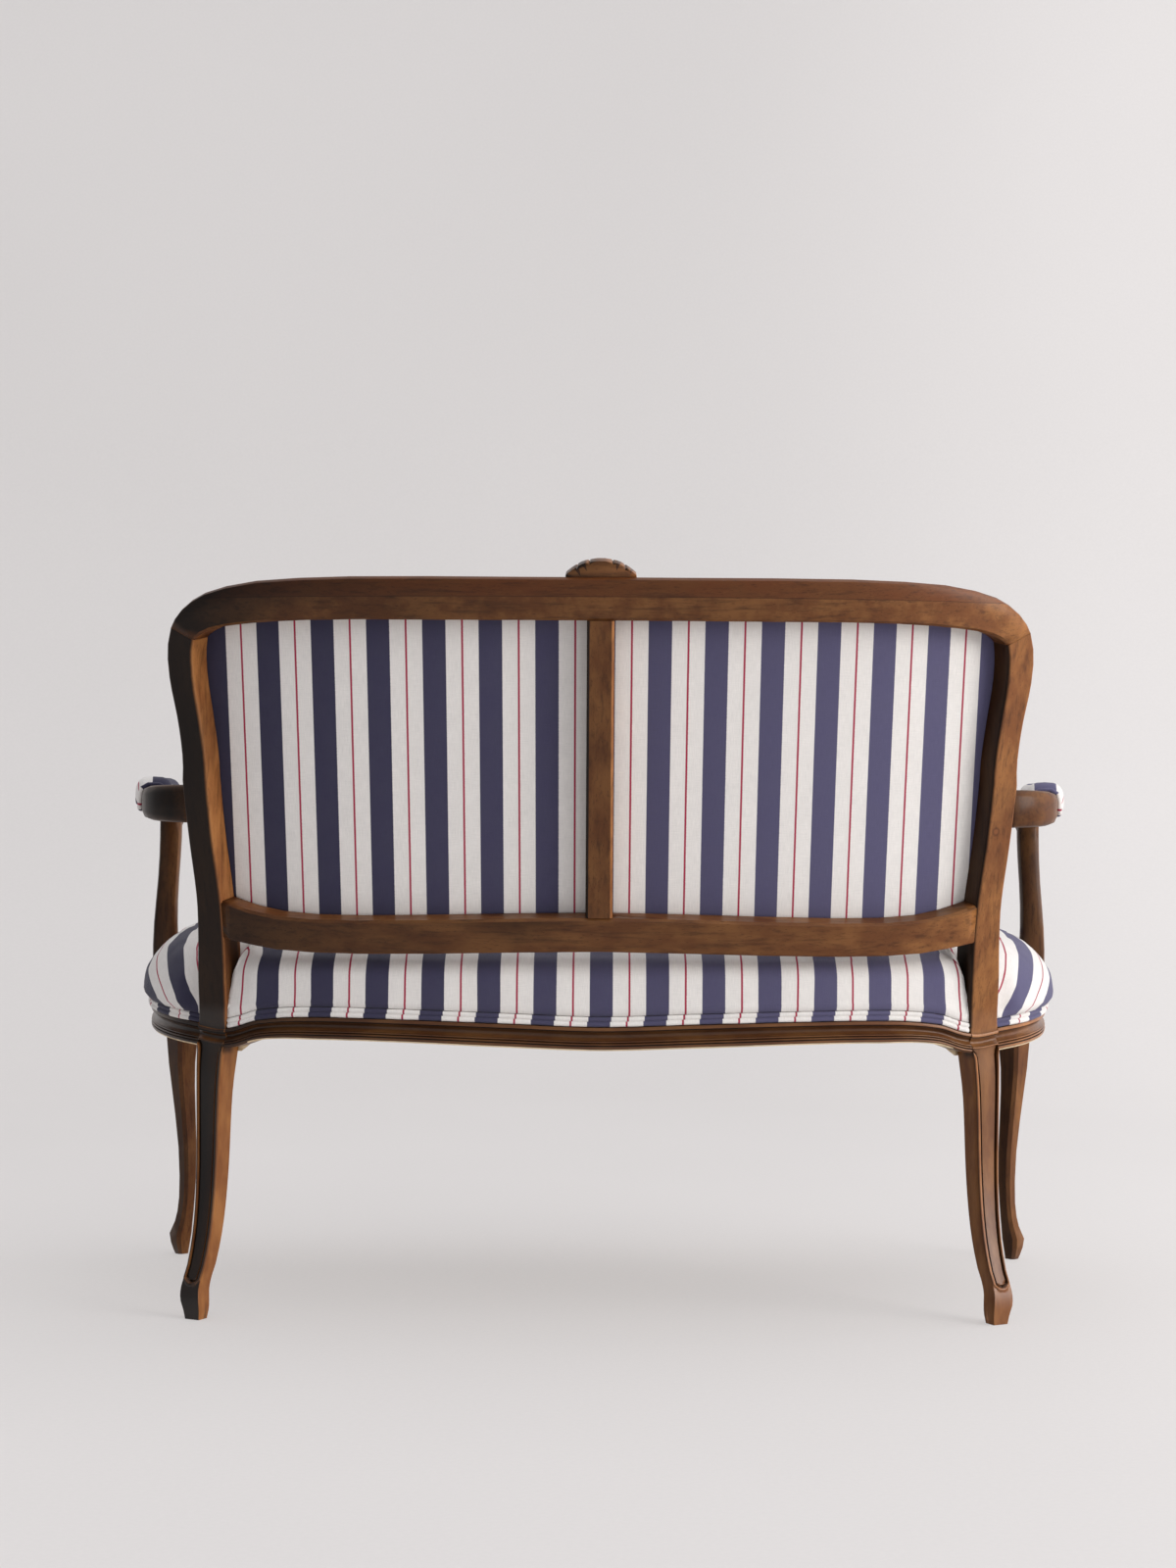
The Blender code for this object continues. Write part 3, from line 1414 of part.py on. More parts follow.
def carving_outline():
    """Outline in x and height above the rail's top, from left to right and under."""
    outline = []
    for x in (-1.0, -0.94, -0.84):
        outline.append((x * CARVING_HALF, carving_height(x * CARVING_HALF)))
    before = None
    for cut in CARVING_CUTS:
        if before is not None:
            for part in (0.33, 0.67):
                x = before + (cut - before) * part
                outline.append((x, carving_height(x) + 0.0004))
        half = CARVING_CUT_WIDE / 2
        outline.append((cut - half, carving_height(cut - half)))
        outline.append((cut, carving_height(cut) - CARVING_CUT_DEEP))
        outline.append((cut + half, carving_height(cut + half)))
        before = cut
    for x in (0.84, 0.94, 1.0):
        outline.append((x * CARVING_HALF, carving_height(x * CARVING_HALF)))
    right = outline[-1][0] + 0.0006
    outline.append((right, 0.0))
    for part, drop in ((0.80, 0.60), (0.45, 0.90), (0.0, 1.0), (-0.45, 0.90), (-0.80, 0.60)):
        outline.append((right * part, -CARVING_DROP * drop))
    outline.append((-right, 0.0))
    return outline


def make_carving(crest_cutter):
    outline = carving_outline()
    rings = []
    for depth, scale in ((CARVING_REAR, 0.985), (CARVING_REAR + 0.0015, 1.0),
                         (0.75 * CARVING_FRONT, 1.0), (0.92 * CARVING_FRONT, 0.93),
                         (CARVING_FRONT, 0.74)):
        ring = []
        for x, rise in outline:
            lift = rise * scale if rise > 0 else rise
            low = (1 - scale) * 0.006
            ring.append(back_surface(x * scale, CREST_TOP + lift - low, depth))
        rings.append(ring)
    carving = loft("crest_carving", rings, STAINED_WOOD, sharp=30)
    boolean(carving, crest_cutter, "DIFFERENCE")
    return carving


def crest_middle():
    """Sections of the middle of the crest rail, that the carving fits over."""
    rings = []
    for x in (-0.060, -0.030, 0.0, 0.030, 0.060):
        rings.append(frame_ring((x, CREST_LOW), (x, CREST_TOP), 1, CREST_ROUNDING, CREST_FALL))
    return rings


def add_tenons(pieces):
    """Tenons and mortises of the frame, all from the rails' and legs' own lines."""
    side_vector = Vector((0.0, 0.0, 1.0))
    for side, hand in ((-1, "left"), (1, "right")):
        def at(point):
            return Vector((side * point.x, point.y, point.z))

        stile = pieces["back_stile_" + hand]
        leg = pieces["front_leg_" + hand]

        # Rear rail into the rear leg
        start = rear_mid(0.4560 - TENON_ROOT)
        end = rear_mid(0.4600 + TENON_LONG)
        start.z = end.z = RAIL_TOP - TENON_DROP
        tenon(pieces["rear_seat_rail"], stile, at(start), at(end), side_vector,
              TENON_TALL, TENON_THICK)

        # Side rail into both legs
        rail = pieces["side_seat_rail_" + hand]
        start = side_mid(0.085)
        along = (side_mid(0.02) - start).normalized()
        start.z = RAIL_TOP - TENON_DROP
        tenon(rail, stile, at(start), at(start + along * (TENON_ROOT + TENON_LONG + 0.002)),
              side_vector, TENON_TALL, TENON_THICK)
        start = side_mid(0.905)
        start.z = RAIL_TOP - TENON_DROP
        tenon(rail, leg, at(start), at(start + Vector((0, 1, 0)) * (2 * TENON_LONG)),
              side_vector, TENON_TALL, TENON_THICK)

        # Front rail into the front leg
        start = front_mid(FRONT_LEG_X - 0.034)
        start.z = RAIL_TOP - TENON_DROP
        tenon(pieces["front_seat_rail"], leg, at(start),
              at(start + Vector((2 * TENON_LONG, -0.002, 0))), side_vector,
              TENON_TALL, TENON_THICK)

        # Lower back rail into the stile
        middle = (back_rail_top(0.452) + back_rail_bottom(0.452)) / 2
        start = back_surface(0.446, middle, 0.46 * FRAME_THICK)
        end = back_surface(0.456 + TENON_LONG, middle + 0.002, 0.46 * FRAME_THICK)
        tenon(pieces["lower_back_rail"], stile, at(start), at(end), side_vector,
              0.024, TENON_THICK)

        # Stile into the crest rail
        inner = rear_point(*CREST_END_INNER)
        outer = rear_point(*CREST_END_OUTER)
        middle = (inner + outer) / 2 + inward(0.5, CREST_END_INNER[1]) * (0.46 * FRAME_THICK)
        across = (outer - inner).normalized()
        rise = inward(0.5, CREST_END_INNER[1]).cross(across)
        if rise.z < 0:
            rise = -rise
        tenon(stile, pieces["crest_rail"], at(middle - rise * TENON_ROOT),
              at(middle + rise * TENON_LONG), at(across), 0.017, TENON_THICK)

        # Arm into the stile
        start = arm_centre(0.075)
        end = arm_centre(0.0) - Vector((0.003, 0.0, 0.0))
        start.z = end.z
        tenon(pieces["arm_" + hand], stile, at(start), at(end), side_vector,
              0.026, TENON_THICK)

    # Upright into both back rails
    for z, rise in ((CREST_LOW, 1.0), (back_rail_top(0.0), -1.0)):
        start = back_surface(0.0, z - rise * TENON_ROOT, 0.5 * UPRIGHT_THICK)
        end = back_surface(0.0, z + rise * TENON_LONG, 0.5 * UPRIGHT_THICK)
        host = pieces["crest_rail"] if rise > 0 else pieces["lower_back_rail"]
        tenon(pieces["back_upright"], host, start, end, Vector((1, 0, 0)), 0.020, TENON_THICK)

    # Stretcher into the seat rails
    level = STRETCHER_LOW + STRETCHER_TALL / 2
    rear = rear_point(0.0, SEAT_LINE).y + RAIL_THICK
    front = front_y(0.0) - RAIL_THICK
    for y, rise, host in ((rear, -1.0, "rear_seat_rail"), (front, 1.0, "front_seat_rail")):
        start = Vector((0.0, y - rise * TENON_ROOT, level))
        end = Vector((0.0, y + rise * TENON_LONG, level))
        tenon(pieces["seat_stretcher"], pieces[host], start, end, Vector((1, 0, 0)),
              0.016, 0.020)


def centre_on_floor():
    """Move every piece so that the settee stands with its middle over the origin."""
    bpy.context.view_layer.update()
    graph = bpy.context.evaluated_depsgraph_get()
    low = Vector((1e9, 1e9, 1e9))
    high = Vector((-1e9, -1e9, -1e9))
    for obj in bpy.data.objects:
        if obj.hide_render:
            continue
        shape = obj.evaluated_get(graph).to_mesh()
        for vertex in shape.vertices:
            for axis in range(3):
                low[axis] = min(low[axis], vertex.co[axis])
                high[axis] = max(high[axis], vertex.co[axis])
        obj.evaluated_get(graph).to_mesh_clear()
    shift = Vector((0.0, -(low.y + high.y) / 2, -low.z))
    for obj in bpy.data.objects:
        obj.location = shift
    print("shift", [round(v, 5) for v in shift])
    print("size", [round(v, 4) for v in high - low])


def scribe(name, rings, amount, ends):
    """Cutter a little larger than a piece, to fit another one round it."""
    return as_cutter(loft(name, stretched_ends(rings, ends), RAW_WOOD, grow=amount))


def build():
    pieces = {}
    stile_cut = {}
    stile_cloth_cut = {}
    leg_cut = {}
    support_cut = {}
    support_cloth_cut = {}
    side_core = {}
    arm_tuck = {}
    for side, hand in ((-1, "left"), (1, "right")):
        rings = stile_rings(side)
        pieces["back_stile_" + hand] = loft("back_stile_" + hand, rings, STAINED_WOOD)
        stile_cut[side] = scribe("stile_scribe_" + hand, rings, FIT, 0.002)
        stile_cloth_cut[side] = scribe("stile_tuck_" + hand, rings, CLOTH_FIT, 0.002)

        rings = [front_leg_ring(z, side) for z in front_leg_heights()]
        pieces["front_leg_" + hand] = loft("front_leg_" + hand, rings, STAINED_WOOD)
        boolean(pieces["front_leg_" + hand], make_leg_rebate(side), "DIFFERENCE")
        leg_cut[side] = scribe("leg_scribe_" + hand, rings, FIT, FIT)

        rings = support_rings(side)
        pieces["arm_support_" + hand] = loft("arm_support_" + hand, rings, STAINED_WOOD)
        support_cut[side] = scribe("support_scribe_" + hand, rings, FIT, FIT)
        support_cloth_cut[side] = scribe("support_tuck_" + hand, rings, CLOTH_FIT, FIT)

        rings = side_rail_rings(side)
        rail = loft("side_seat_rail_" + hand, rings, STAINED_WOOD)
        for cutter in (stile_cut[side], leg_cut[side], support_cut[side]):
            boolean(rail, cutter, "DIFFERENCE")
        pieces["side_seat_rail_" + hand] = rail
        core = stretched_ends(core_rings(rings), 0.012)
        side_core[side] = as_cutter(loft("side_core_" + hand, core, RAW_WOOD))

        rings = arm_rings(side)
        arm = loft("arm_" + hand, rings, STAINED_WOOD)
        arm_tuck[side] = scribe("arm_tuck_" + hand, rings, CLOTH_FIT, 0.0)
        boolean(arm, stile_cut[side], "DIFFERENCE")
        boolean(arm, support_cut[side], "DIFFERENCE")
        pieces["arm_" + hand] = arm

    pieces["crest_rail"] = make_crest_rail()
    pieces["lower_back_rail"] = make_lower_back_rail((stile_cut[-1], stile_cut[1]))
    pieces["back_upright"] = make_upright()

    rings = rear_rail_rings()
    rear_rail = loft("rear_seat_rail", rings, STAINED_WOOD)
    rear_core = as_cutter(loft("rear_core", core_rings(rings), RAW_WOOD))
    rings = front_rail_rings()
    front_rail = loft("front_seat_rail", rings, STAINED_WOOD)
    front_core = as_cutter(loft("front_core", core_rings(rings), RAW_WOOD))
    for side in (-1, 1):
        boolean(rear_rail, stile_cut[side], "DIFFERENCE")
        boolean(front_rail, leg_cut[side], "DIFFERENCE")
    pieces["rear_seat_rail"] = rear_rail
    pieces["front_seat_rail"] = front_rail
    pieces["seat_stretcher"] = make_stretcher(rear_core, front_core)

    for side, hand in ((-1, "left"), (1, "right")):
        ring = stile_ring(BLOCK_LOW + 0.02, 1)
        leg_middle = sum(ring, Vector()) / len(ring)
        inside = Vector((0.438, 0.072, 0.0))
        corners = [(side * p.x, p.y) for p in (rear_mid(0.415), leg_middle, side_mid(0.22), inside)]
        make_block("seat_block_rear_" + hand, corners,
                   (stile_cut[side], rear_core, side_core[side]))
        leg_middle = Vector((FRONT_LEG_X, FRONT_LEG_Y, 0.0))
        corners = [(side * p.x, p.y) for p in (side_mid(0.80), leg_middle, front_mid(0.47))]
        make_block("seat_block_front_" + hand, corners,
                   (leg_cut[side], front_core, side_core[side]))

    add_tenons(pieces)

    crest_cut = scribe("crest_scribe", crest_middle(), FIT, 0.0)
    make_carving(crest_cut)

    cloth_cutters = [stile_cloth_cut[-1], stile_cloth_cut[1],
                     support_cloth_cut[-1], support_cloth_cut[1]]
    make_seat_pad(cloth_cutters)
    make_hessian(cloth_cutters)
    make_seat_webbing()
    make_seat_welt("seat_welt_rear", run_rear_welt(0.4430))
    for side, hand in ((-1, "left"), (1, "right")):
        make_seat_welt("seat_welt_" + hand, run_side_welt(side, 0.095, 0.690))
    make_seat_welt("seat_welt_front", run_front_welt(0.795))

    make_outside_cover()
    make_back_webbing()
    make_back_pad()
    make_back_welt()
    for side, hand in ((-1, "left"), (1, "right")):
        make_arm_pad(side, "arm_pad_" + hand, arm_tuck[side])
        make_arm_welt(side, "arm_welt_" + hand)
    centre_on_floor()


build()
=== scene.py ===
"""Two seat settee, dressed: polished beech, striped cloth, webbing and a pale studio.

Metres, +Z up. The rear of the settee faces -Y, which is the side that the camera sees.
"""
import json
import math

import bmesh
import bpy
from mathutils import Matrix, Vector, noise

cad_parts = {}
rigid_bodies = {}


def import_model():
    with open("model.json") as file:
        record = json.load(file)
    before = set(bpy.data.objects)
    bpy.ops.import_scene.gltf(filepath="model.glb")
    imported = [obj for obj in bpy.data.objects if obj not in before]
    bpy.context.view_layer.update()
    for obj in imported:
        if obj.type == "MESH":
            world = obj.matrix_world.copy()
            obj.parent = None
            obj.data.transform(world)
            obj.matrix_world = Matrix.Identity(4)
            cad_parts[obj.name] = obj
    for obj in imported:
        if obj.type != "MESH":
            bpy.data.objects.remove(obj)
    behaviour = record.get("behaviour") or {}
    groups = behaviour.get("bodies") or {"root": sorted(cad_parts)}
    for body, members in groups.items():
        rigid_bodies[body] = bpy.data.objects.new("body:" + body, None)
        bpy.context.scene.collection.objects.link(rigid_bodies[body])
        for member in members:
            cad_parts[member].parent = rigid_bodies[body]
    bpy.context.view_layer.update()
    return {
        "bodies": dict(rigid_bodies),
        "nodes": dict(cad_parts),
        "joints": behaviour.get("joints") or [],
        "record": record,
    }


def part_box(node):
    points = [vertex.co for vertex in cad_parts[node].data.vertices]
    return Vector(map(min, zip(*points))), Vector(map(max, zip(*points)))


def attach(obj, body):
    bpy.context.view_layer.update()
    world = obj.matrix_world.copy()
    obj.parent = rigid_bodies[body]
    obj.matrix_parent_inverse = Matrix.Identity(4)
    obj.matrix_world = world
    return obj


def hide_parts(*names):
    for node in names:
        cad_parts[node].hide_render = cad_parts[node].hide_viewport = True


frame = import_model()

bl_info = {
    "name": "Striped settee",
    "version": (1, 0, 0),
    "blender": (4, 5, 0),
    "location": "3D View > Sidebar > Settee",
    "description": "Dresses the frame of a two seat settee and sets it in a studio",
    "category": "Object",
}

# Middle of the settee, from the line of the rear seat rail
CENTRE_SHIFT = Vector((0.0, -0.16338, 0.0))

# Rear surface of the back frame
RAKE = math.tan(math.radians(12.5))
BOW_2 = 0.12
BOW_4 = 0.85
STILE_X = 0.490
LEG_MIDDLE_X = 0.472
SEAT_LINE = 0.360
FRAME_THICK = 0.038
REBATE_WIDE = 0.009
REBATE_DEEP = 0.0085
ROUNDING = 0.0032

# Frame members that the cloth follows
CREST_TOP = 0.9015
CREST_LOW = 0.8520
BACK_RAIL_TOP = 0.4985
RAIL_TOP = 0.4020
RAIL_THICK = 0.0340
RAIL_SHY = 0.0010
REBATE_SEAT = 0.0100
MOULD_DEEP = 0.0280
MOULD_LINE_MID = 0.3645
MOULD_LINE_HIGH = 0.3720
MOULD_LINE_LEG = 0.3545
FRONT_APRON_DEEP = 0.0480
FRONT_EDGE = 0.512
FRONT_LEG_X = 0.580
FRONT_LEG_Y = 0.452
FRONT_LEG_SIDE = 0.0400

# Eye of the knot on the right stile
STILE_KNOT = (0.4831, -0.2197, 0.6056)

# Upholstery
CORD_RADIUS = 0.0031
CLOTH_FIT = 0.0006
PAD_UNDER = 0.4093
SEAT_EDGE_TOP = 0.4560
SEAT_CROWN = 0.4880
SEAT_MIDDLE_Y = 0.215
SEAT_RIDGE_X = 0.340
SEAT_BULGE = 0.0110
PANEL_DEPTH = 0.0303
PANEL_THICK = 0.0012
BACK_PAD_REAR = 0.0346
BACK_PAD_EDGE = 0.0400
BACK_PAD_CROWN = 0.0640
ARM_TOP = 0.6560
ARM_PAD_START = 0.085
ARM_PAD_END = 0.285
ARM_PAD_WIDE = 0.0480
ARM_PAD_LIFT = 0.0032
END_RED_LINE = 0.0360
ARM_PAD_TOP = 0.6690
ARM_PAD_HANG = 0.0230
STRIPE_BACK = 1.0104
STRIPE_CLOSING = 0.045
STRIPE_SEAT = 0.9956


# Curves of the frame

def curve_through(points):
    """Smooth function through (parameter, value) pairs, with straight ends."""
    params = [p[0] for p in points]
    values = [p[1] for p in points]
    slopes = []
    for i in range(len(points)):
        low = max(i - 1, 0)
        high = min(i + 1, len(points) - 1)
        slopes.append((values[high] - values[low]) / (params[high] - params[low]))

    def value(t):
        if t <= params[0]:
            return values[0]
        if t >= params[-1]:
            return values[-1]
        i = 0
        while t > params[i + 1]:
            i += 1
        span = params[i + 1] - params[i]
        s = (t - params[i]) / span
        a = 2 * s**3 - 3 * s**2 + 1
        b = s**3 - 2 * s**2 + s
        c = -2 * s**3 + 3 * s**2
        d = s**3 - s**2
        return a * values[i] + b * span * slopes[i] + c * values[i + 1] + d * span * slopes[i + 1]

    return value


def even_curve(points):
    """Smooth function that is the same on both sides of zero."""
    mirrored = [(-t, v) for t, v in reversed(points[1:])]
    return curve_through(mirrored + points)


def curve_of(rows, index):
    """Smooth function of each row's first value, for the value at an index."""
    return curve_through([(row[0], row[index]) for row in rows])


def lengths_along(points):
    """Distance of each point along the line through them all."""
    total = [0.0]
    for a, b in zip(points, points[1:]):
        total.append(total[-1] + math.dist(a, b))
    return total


def sided(side, point):
    """The point itself for side 1, or its mirror image on the left for -1."""
    return Vector((side * point.x, point.y, point.z))


def ramp(low, high, value):
    """Smooth step from 0 at low to 1 at high."""
    s = min(max((value - low) / (high - low), 0.0), 1.0)
    return s * s * (3 - 2 * s)


def bow(x):
    return BOW_2 * x**2 + BOW_4 * x**4


def bow_slope(x):
    return 2 * BOW_2 * x + 4 * BOW_4 * x**3


leg_back = curve_through([(0.0, -0.040), (0.020, -0.0435), (0.050, -0.037), (0.100, -0.021),
                          (0.180, -0.006), (0.270, 0.0), (SEAT_LINE, 0.0)])


def rear_point(x, z):
    """Point on the rear surface of the back, which runs on down the rear legs."""
    y = bow(x) - bow(STILE_X)
    if z > SEAT_LINE:
        y -= RAKE * (z - SEAT_LINE)
    else:
        y += leg_back(z)
    return Vector((x, y, z))


def rear_outward(x):
    """Level direction out of the back's bow."""
    return Vector((bow_slope(x), -1, 0)).normalized()


def inward(x, z):
    """Direction through the thickness of the back, from rear to front."""
    lean = RAKE * ramp(SEAT_LINE - 0.02, SEAT_LINE + 0.06, z)
    return Vector((-bow_slope(x), 1.0, lean)).normalized()


def back_surface(x, z, depth):
    return rear_point(x, z) + inward(x, z) * depth


mould_line_rear = even_curve([
    (0.0, MOULD_LINE_MID), (0.12, MOULD_LINE_MID + 0.0036), (0.25, MOULD_LINE_HIGH - 0.0005),
    (0.36, MOULD_LINE_HIGH), (0.42, MOULD_LINE_HIGH - 0.0055), (0.452, MOULD_LINE_LEG + 0.002),
    (0.472, MOULD_LINE_LEG), (0.500, MOULD_LINE_LEG + 0.0045)])

STILE_EDGES = [
    (0.000, 0.4880, 0.0185), (0.012, 0.4872, 0.0215), (0.024, 0.4880, 0.0245),
    (0.036, 0.4885, 0.0240), (0.050, 0.4860, 0.0232), (0.070, 0.4805, 0.0236),
    (0.116, 0.4742, 0.0248), (0.175, 0.4710, 0.0265), (0.272, 0.4690, 0.0300),
    (0.315, 0.4660, 0.0330), (0.370, 0.4600, 0.0360), (0.420, 0.4598, 0.0365),
    (0.468, 0.4605, 0.0345), (0.516, 0.4630, 0.0325), (0.589, 0.4720, 0.0317),
    (0.661, 0.4780, 0.0324), (0.685, 0.4788, 0.0306), (0.732, 0.4845, 0.0298),
    (0.779, 0.4915, 0.0318), (0.803, 0.4928, 0.0332),
]
stile_inner = curve_of(STILE_EDGES, 1)
stile_across = curve_of(STILE_EDGES, 2)
stile_deep = curve_through([(0.0, 0.0190), (0.020, 0.0240), (0.050, 0.0245), (0.116, 0.0270),
                            (0.175, 0.0290), (0.272, 0.0320), (0.330, 0.0370),
                            (0.400, FRAME_THICK), (0.850, FRAME_THICK)])
STILE_SHOULDER = (((0.4929, CREST_TOP - 0.0970), (0.5261, CREST_TOP - 0.0930)),
                  ((0.4926, CREST_TOP - 0.0845), (0.5252, CREST_TOP - 0.0745)),
                  ((0.4905, CREST_TOP - 0.0715), (0.5205, CREST_TOP - 0.0550)))

back_rail_top = even_curve([
    (0.0, BACK_RAIL_TOP), (0.12, BACK_RAIL_TOP - 0.0020), (0.24, BACK_RAIL_TOP - 0.0050),
    (0.33, BACK_RAIL_TOP - 0.0058), (0.39, BACK_RAIL_TOP - 0.0025),
    (0.425, BACK_RAIL_TOP + 0.0040), (0.448, BACK_RAIL_TOP + 0.0105),
    (0.470, BACK_RAIL_TOP + 0.0190)])

SIDE_RUN = [(0.00, 0.4760, 0.0090), (0.05, 0.4960, 0.0190), (0.12, 0.5250, 0.0420),
            (0.20, 0.5500, 0.0760), (0.32, 0.5710, 0.1250), (0.47, 0.5860, 0.1950),
            (0.62, 0.5950, 0.2650), (0.80, 0.6010, 0.3500), (1.00, 0.6040, 0.4440)]
side_x = curve_of(SIDE_RUN, 1)
side_y = curve_of(SIDE_RUN, 2)


def side_outward(t):
    step = 0.004
    dx = side_x(min(t + step, 1.0)) - side_x(max(t - step, 0.0))
    dy = side_y(min(t + step, 1.0)) - side_y(max(t - step, 0.0))
    return Vector((dy, -dx, 0.0)).normalized()


mould_line_side = curve_through([
    (0.0, MOULD_LINE_LEG + 0.0020), (0.05, MOULD_LINE_LEG + 0.0040),
    (0.10, MOULD_LINE_LEG + 0.0065), (0.25, MOULD_LINE_HIGH - 0.0060),
    (0.50, MOULD_LINE_HIGH - 0.0020), (0.75, MOULD_LINE_HIGH - 0.0050),
    (1.0, MOULD_LINE_LEG + 0.002)])

front_y = even_curve([(0.0, FRONT_EDGE), (0.15, FRONT_EDGE - 0.004),
                      (0.30, FRONT_EDGE - 0.015), (0.44, FRONT_EDGE - 0.026),
                      (0.52, FRONT_EDGE - 0.032), (0.59, FRONT_EDGE - 0.040)])
front_line = even_curve([(0.0, MOULD_LINE_MID), (0.15, MOULD_LINE_MID + 0.004),
                         (0.30, MOULD_LINE_HIGH), (0.44, MOULD_LINE_HIGH - 0.001),
                         (0.54, MOULD_LINE_LEG + 0.003), (0.59, MOULD_LINE_LEG)])
front_deep = even_curve([(0.0, FRONT_APRON_DEEP), (0.06, FRONT_APRON_DEEP - 0.004),
                         (0.15, FRONT_APRON_DEEP - 0.012), (0.32, FRONT_APRON_DEEP - 0.014),
                         (0.46, FRONT_APRON_DEEP - 0.008), (0.59, FRONT_APRON_DEEP - 0.004)])


def front_outward(x):
    step = 0.004
    rise = (front_y(abs(x) + step) - front_y(max(abs(x) - step, 0.0))) / (2 * step)
    if abs(x) < step:
        rise = 0.0
    return Vector((-math.copysign(rise, x) if x else 0.0, 1.0, 0.0)).normalized()


def rear_place(x):
    """Point on the seat's rear edge, its way out and the moulding's upper line."""
    return rear_point(x, SEAT_LINE), rear_outward(x), mould_line_rear(x)


def side_place(t):
    return Vector((side_x(t), side_y(t), 0.0)), side_outward(t), mould_line_side(t)


def front_place(x):
    return Vector((x, front_y(x), 0.0)), front_outward(x), front_line(x)


def corner_places():
    """Places round the seat's front corner, over the leg."""
    half = FRONT_LEG_SIDE / 2
    diagonal = Vector((1, 1, 0)).normalized()
    across = Vector((-1, 1, 0)).normalized()
    middle = Vector((FRONT_LEG_X, FRONT_LEG_Y, 0.0)) + diagonal * half
    places = []
    for share in (-0.9, -0.6, -0.3, 0.0, 0.3, 0.6, 0.9):
        out = (diagonal + across * share * 0.75).normalized()
        places.append((middle + across * (0.62 * half * share), out, front_line(0.56)))
    return places


ARM_RUN = [(0.00, 0.4900, -0.0300, 0.0), (0.06, 0.5100, -0.0270, 0.0005),
           (0.14, 0.5350, -0.0130, 0.0), (0.22, 0.5510, 0.0100, -0.0010),
           (0.32, 0.5610, 0.0500, -0.0020), (0.44, 0.5680, 0.1000, -0.0040),
           (0.56, 0.5740, 0.1600, -0.0060), (0.68, 0.5790, 0.2200, -0.0070),
           (0.80, 0.5830, 0.2850, -0.0060), (0.88, 0.5850, 0.3350, -0.0060),
           (0.94, 0.5860, 0.3700, -0.0130), (1.00, 0.5860, 0.3860, -0.0300)]
arm_x = curve_of(ARM_RUN, 1)
arm_y = curve_of(ARM_RUN, 2)
arm_rise = curve_of(ARM_RUN, 3)
arm_deep = curve_through([(0.0, 0.0470), (0.12, 0.0455), (0.30, 0.0400), (0.45, 0.0340),
                          (0.80, 0.0330), (0.93, 0.0340), (1.0, 0.0300)])
arm_wide = curve_through([(0.0, 0.0240), (0.20, 0.0300), (0.45, 0.0270), (0.75, 0.0270),
                          (0.90, 0.0330), (1.0, 0.0280)])


def arm_centre(t):
    return Vector((arm_x(t), arm_y(t), ARM_TOP + arm_rise(t) - arm_deep(t) / 2))


def arm_side(t):
    run = arm_centre(min(t + 0.01, 1.0)) - arm_centre(max(t - 0.01, 0.0))
    return Vector((run.y, -run.x, 0.0)).normalized()


def arm_param(y):
    """Place along the arm at a distance forward, past its bend."""
    low, high = 0.2, 1.0
    for _ in range(40):
        middle = (low + high) / 2
        if arm_y(middle) < y:
            low = middle
        else:
            high = middle
    return low


# Node trees

def put(tree, kind, inputs=None, **settings):
    """New node with its settings, and its inputs set to values or linked to sockets."""
    node = tree.nodes.new(kind)
    for name, value in settings.items():
        setattr(node, name, value)
    for key, value in (inputs or {}).items():
        if isinstance(value, bpy.types.NodeSocket):
            tree.links.new(value, node.inputs[key])
        else:
            node.inputs[key].default_value = value
    return node


def calc(tree, operation, first, second=0.0, third=0.0):
    node = put(tree, "ShaderNodeMath", {0: first, 1: second, 2: third}, operation=operation)
    return node.outputs[0]


def blend_colour(tree, share, first, second, how="MIX"):
    node = put(tree, "ShaderNodeMix", data_type="RGBA", blend_type=how)
    for index, value in ((0, share), (6, first), (7, second)):
        if isinstance(value, bpy.types.NodeSocket):
            tree.links.new(value, node.inputs[index])
        elif index == 0:
            node.inputs[0].default_value = value
        else:
            node.inputs[index].default_value = (*value[:3], 1.0)
    return node.outputs[2]


def between(tree, value, low, high, to_low=0.0, to_high=1.0):
    node = put(tree, "ShaderNodeMapRange",
               {"Value": value, "From Min": low, "From Max": high,
                "To Min": to_low, "To Max": to_high}, interpolation_type="SMOOTHSTEP")
    return node.outputs[0]


def cloudy(tree, vector, scale, detail=3.0, rough=0.55):
    node = put(tree, "ShaderNodeTexNoise",
               {"Vector": vector, "Scale": scale, "Detail": detail, "Roughness": rough})
    return node.outputs[0]


def new_material(name):
    material = bpy.data.materials.new(name)
    material.use_nodes = True
    return material, material.node_tree, material.node_tree.nodes["Principled BSDF"]


def object_place(tree):
    return put(tree, "ShaderNodeTexCoord").outputs["Object"]


def stored(tree, name):
    return put(tree, "ShaderNodeAttribute", attribute_name=name).outputs["Fac"]


def split_up(tree, vector):
    return put(tree, "ShaderNodeSeparateXYZ", {0: vector}).outputs


def scaled(tree, vector, scale):
    return put(tree, "ShaderNodeMapping", {"Vector": vector, "Scale": scale}).outputs[0]


def linear(tree, value, from_low, from_high, to_low, to_high):
    return put(tree, "ShaderNodeMapRange",
               {"Value": value, "From Min": from_low, "From Max": from_high,
                "To Min": to_low, "To Max": to_high}).outputs[0]


def shaded(tree, colour, value):
    """Colour made darker or brighter by a factor."""
    grey = put(tree, "ShaderNodeCombineColor", {0: value, 1: value, 2: value}).outputs[0]
    return blend_colour(tree, 1.0, colour, grey, "MULTIPLY")


def add_bump(tree, shader, height, strength, distance):
    bump = put(tree, "ShaderNodeBump",
               {"Height": height, "Strength": strength, "Distance": distance})
    tree.links.new(bump.outputs[0], shader.inputs["Normal"])


